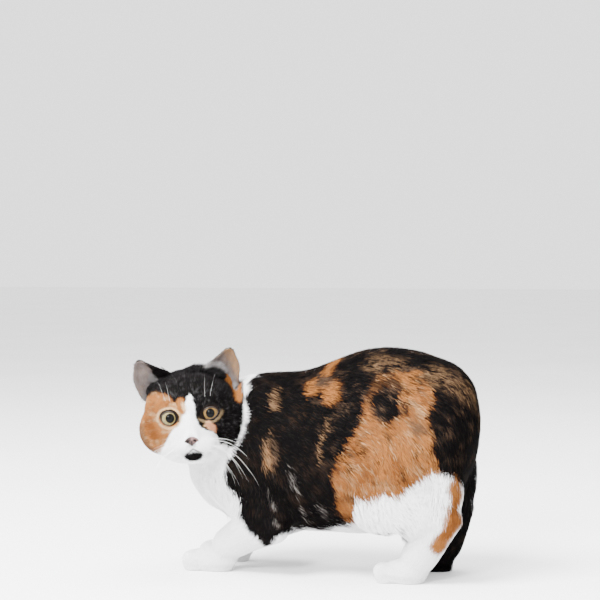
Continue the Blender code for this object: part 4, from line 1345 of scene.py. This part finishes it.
class Finish:
    """A material in the making."""

    def __init__(self, name, **constants):
        self.material = bpy.data.materials.new(name)
        self.material.use_nodes = True
        self.tree = self.material.node_tree
        self.shader = self.tree.nodes["Principled BSDF"]
        self.set(self.shader, {key.replace("_", " "): value for key, value in constants.items()})

    def set(self, node, sockets):
        for key, value in sockets.items():
            if isinstance(value, Number):
                self.tree.links.new(value.socket, node.inputs[key])
            elif isinstance(value, bpy.types.NodeSocket):
                self.tree.links.new(value, node.inputs[key])
            else:
                node.inputs[key].default_value = value

    def node(self, kind, settings, sockets):
        """Any node: its settings come first, then the values and links of its sockets."""
        node = self.tree.nodes.new(kind)
        for key, value in settings.items():
            if key == "stops":
                self.set_stops(node.color_ramp, value)
            else:
                setattr(node, key, value)
        self.set(node, sockets)
        return node

    def set_stops(self, ramp, stops):
        while len(ramp.elements) < len(stops):
            ramp.elements.new(1.0)
        for element, (position, colour) in zip(ramp.elements, stops):
            element.position = position
            element.color = (*colour, 1.0)

    def place(self):
        return self.node("ShaderNodeTexCoord", {}, {}).outputs["Object"]

    def noise(self, place, scale, detail=2.0):
        node = self.node("ShaderNodeTexNoise", {}, {"Vector": place, "Scale": scale, "Detail": detail})
        return Number(self, node.outputs["Fac"])

    def stretched(self, place, scale):
        node = self.node("ShaderNodeMapping", {}, {"Vector": place, "Scale": scale})
        return node.outputs["Vector"]

    def mix(self, factor, first, second, blend="MIX"):
        settings = {"data_type": "RGBA", "blend_type": blend}
        node = self.node("ShaderNodeMix", settings, {0: factor, 6: first, 7: second})
        return node.outputs[2]

    def ramp(self, factor, stops):
        return self.node("ShaderNodeValToRGB", {"stops": stops}, {"Fac": factor}).outputs["Color"]

    def bump(self, height, distance, strength=1.0):
        sockets = {"Height": height, "Distance": distance, "Strength": strength}
        self.set(self.shader, {"Normal": self.node("ShaderNodeBump", {}, sockets).outputs["Normal"]})

    def attribute(self):
        return self.node("ShaderNodeAttribute", {"attribute_name": "coat_colour"}, {}).outputs["Color"]

    def shade(self, factor, stops):
        """The mesh's own colours, darker along a ramp."""
        shade = self.ramp(factor, stops)
        self.colour(self.mix(1.0, self.attribute(), shade, "MULTIPLY"))

    def colour(self, socket):
        self.set(self.shader, {"Base Color": socket})


def hair_finish():
    """The tufts: their own colours, with fine strands."""
    finish = Finish("coat_hair", Roughness=0.65, Specular_IOR_Level=0.02)
    strands = finish.noise(finish.stretched(finish.place(), (0.4, 1.0, 1.0)), 1400.0)
    finish.shade(strands, ((0.3, (0.86, 0.86, 0.86)), (0.7, (1.0, 1.0, 1.0))))
    return finish.material


def skin_finish():
    """The skin: its colours darkened as painted shade under the coat, with the grain of the underfur."""
    finish = Finish("coat_skin", Roughness=0.7, Specular_IOR_Level=0.02)
    grain = finish.noise(finish.stretched(finish.place(), (0.35, 1.0, 1.0)), 900.0, 3.0)
    # Painted shade: this ramp darkens the skin's colours, as shaded by the coat over it
    finish.shade(grain, ((0.3, (0.80, 0.79, 0.79)), (0.75, (0.98, 0.98, 0.98))))
    finish.bump(grain, 0.0006)
    return finish.material


def eye_finish(side):
    """A wet eye: dark oval pupil, streaked amber iris and a dark edge, looking at the camera."""
    finish = Finish("eye_" + SIDES[side] + "_wet", Roughness=0.3, Specular_IOR_Level=0.0)
    finish.set(finish.shader, {"Coat Weight": 0.15, "Coat Roughness": 0.02, "Coat IOR": 1.37})
    middle = eye_middle(side)
    gaze = unit(to_head(np.array([camera_place()]))[0] - middle)
    settings = {"operation": "SUBTRACT"}
    offset = finish.node("ShaderNodeVectorMath", settings, {0: finish.place(), 1: tuple(from_head(middle))})
    x, z = (
        Number(finish, finish.node(
            "ShaderNodeVectorMath", {"operation": "DOT_PRODUCT"},
            {0: offset.outputs["Vector"], 1: tuple(HEAD_TURN[:, axis] / EYE_RADIUS)},
        ).outputs["Value"])
        for axis in (0, 2)
    )
    across, up = x - float(gaze[0]), z - float(gaze[2])
    pupil = ((across / PUPIL[0]) ** 2.0 + (up / PUPIL[1]) ** 2.0) ** 0.5
    reach = (across ** 2.0 + up ** 2.0) ** 0.5
    rays = {0: across / (reach + 0.02), 1: up / (reach + 0.02), 2: reach * 0.25}
    streak_place = finish.node("ShaderNodeCombineXYZ", {}, rays)
    streaks = finish.noise(streak_place.outputs["Vector"], 9.0, 4.0)
    iris = finish.ramp(reach, IRIS_STOPS[side])
    shade = finish.ramp(streaks, ((0.30, (0.55, 0.50, 0.42)), (0.70, (1.0, 1.0, 1.0))))
    iris = finish.mix(1.0, iris, shade, "MULTIPLY")
    opened = finish.ramp(pupil, ((0.90, (0.0, 0.0, 0.0)), (1.06, (1.0, 1.0, 1.0))))
    finish.colour(finish.mix(opened, (0.002, 0.002, 0.002, 1.0), iris))
    return finish.material


def rim_finish():
    """The dark wet skin at the edge of the lids."""
    finish = Finish("lid_edge", Roughness=0.4, Specular_IOR_Level=0.15)
    grain = finish.noise(finish.place(), 1500.0)
    finish.colour(finish.ramp(grain, ((0.3, (0.008, 0.005, 0.004)), (0.7, (0.022, 0.014, 0.011)))))
    return finish.material


def leather_finish():
    """Moist pebbled nose leather, pink with dark patches."""
    finish = Finish("nose_leather", Roughness=0.5, Specular_IOR_Level=0.15)
    pebbles = finish.node("ShaderNodeTexVoronoi", {}, {"Vector": finish.place(), "Scale": 2600.0})
    distance = Number(finish, pebbles.outputs["Distance"])
    finish.shade(distance, ((0.1, (1.0, 1.0, 1.0)), (0.8, (0.72, 0.70, 0.70))))
    finish.bump(1 - distance, 0.0002, 0.6)
    return finish.material


def ear_finish():
    """Thin ear skin with faint veins."""
    finish = Finish("ear_skin_thin", Roughness=0.7, Specular_IOR_Level=0.08)
    veins = finish.noise(finish.stretched(finish.place(), (1.0, 1.0, 0.45)), 260.0, 4.0)
    finish.shade(veins, ((0.35, (0.72, 0.66, 0.64)), (0.65, (1.0, 1.0, 1.0))))
    finish.bump(veins, 0.0003, 0.5)
    return finish.material


def whisker_finish():
    """Stiff white whiskers, faintly banded."""
    finish = Finish("whisker_white", Roughness=0.35, Specular_IOR_Level=0.4)
    bands = finish.noise(finish.place(), 300.0)
    finish.colour(finish.ramp(bands, ((0.3, (0.74, 0.73, 0.72)), (0.7, (0.88, 0.88, 0.88)))))
    return finish.material


# Camera, floor and lights

def seen_from(azimuth, elevation):
    """The way from the cat to a place round and above it."""
    level = math.cos(elevation)
    return Vector((math.sin(azimuth) * level, -math.cos(azimuth) * level, math.sin(elevation)))


def camera_place():
    return TARGET + seen_from(VIEW_AZ, VIEW_EL) * VIEW_DISTANCE


def add_camera():
    """The camera, aimed so that the middle of the body falls where the photo has it."""
    focal = LENS / SENSOR * PICTURE
    azimuth = VIEW_AZ + math.atan((TARGET_PIXEL[0] - PICTURE / 2) / focal)
    elevation = VIEW_EL - math.atan((TARGET_PIXEL[1] - PICTURE / 2) / focal)
    aim = seen_from(azimuth, elevation).to_track_quat("Z", "Y").to_euler()
    camera = added(bpy.ops.object.camera_add, location=camera_place(), rotation=aim)
    camera.data.lens = LENS
    camera.data.sensor_width = SENSOR
    bpy.context.scene.camera = camera


def add_light(name, place, size, power):
    """A soft square light, turned to the cat."""
    aim = (Vector(place) - TARGET).to_track_quat("Z", "Y").to_euler()
    light = added(bpy.ops.object.light_add, type="AREA", location=place, rotation=aim)
    light.name = name
    light.data.size = size
    light.data.energy = power


def add_surroundings():
    """A pale floor, a pale sky and soft studio lights."""
    floor = added(bpy.ops.mesh.primitive_plane_add, size=40.0)
    floor.name = "floor"
    finish = Finish("pale_floor", Roughness=0.6, Specular_IOR_Level=0.1)
    cloud = finish.noise(finish.place(), 2.0)
    finish.colour(finish.ramp(cloud, ((0.3, (0.86, 0.86, 0.87)), (0.7, (0.90, 0.90, 0.90)))))
    floor.data.materials.append(finish.material)
    world = bpy.data.worlds.new("pale_studio")
    world.use_nodes = True
    sky = world.node_tree.nodes["Background"]
    sky.inputs["Color"].default_value = (1.0, 1.0, 1.0, 1.0)
    sky.inputs["Strength"].default_value = SKY_STRENGTH
    bpy.context.scene.world = world
    for name, place, size, power in LIGHTS:
        add_light(name, place, size, power)


def main():
    add_camera()
    add_surroundings()
    skin = build_skin()
    write_colours(skin, coat_colours(read_points(skin)))
    skin.data.shade_smooth()
    skin.data.materials.append(skin_finish())
    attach(skin, "root")
    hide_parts(*FLESH)
    surface = surface_of(skin)
    ears = {side: build_ear(side, surface) for side in SIDES}
    coat = build_coat(skin, surface) + [build_ear_hair(ears, skin)]
    hair = hair_finish()
    for piece in coat:
        piece.data.materials.append(hair)
    rims = [build_lid_rim(side) for side in SIDES]
    wet_edge = rim_finish()
    for rim in rims:
        rim.data.materials.append(wet_edge)
    eyes = [build_eye(side) for side in SIDES]
    slots = {"coat_black": coat, "ear_skin": list(ears.values()), "nose_skin": [build_nose(), *rims]}
    slots.update({"eye_amber": eyes, "whisker": [build_whiskers(surface)]})
    for slot, pieces in slots.items():
        for piece in pieces:
            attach(piece, "root")


main()
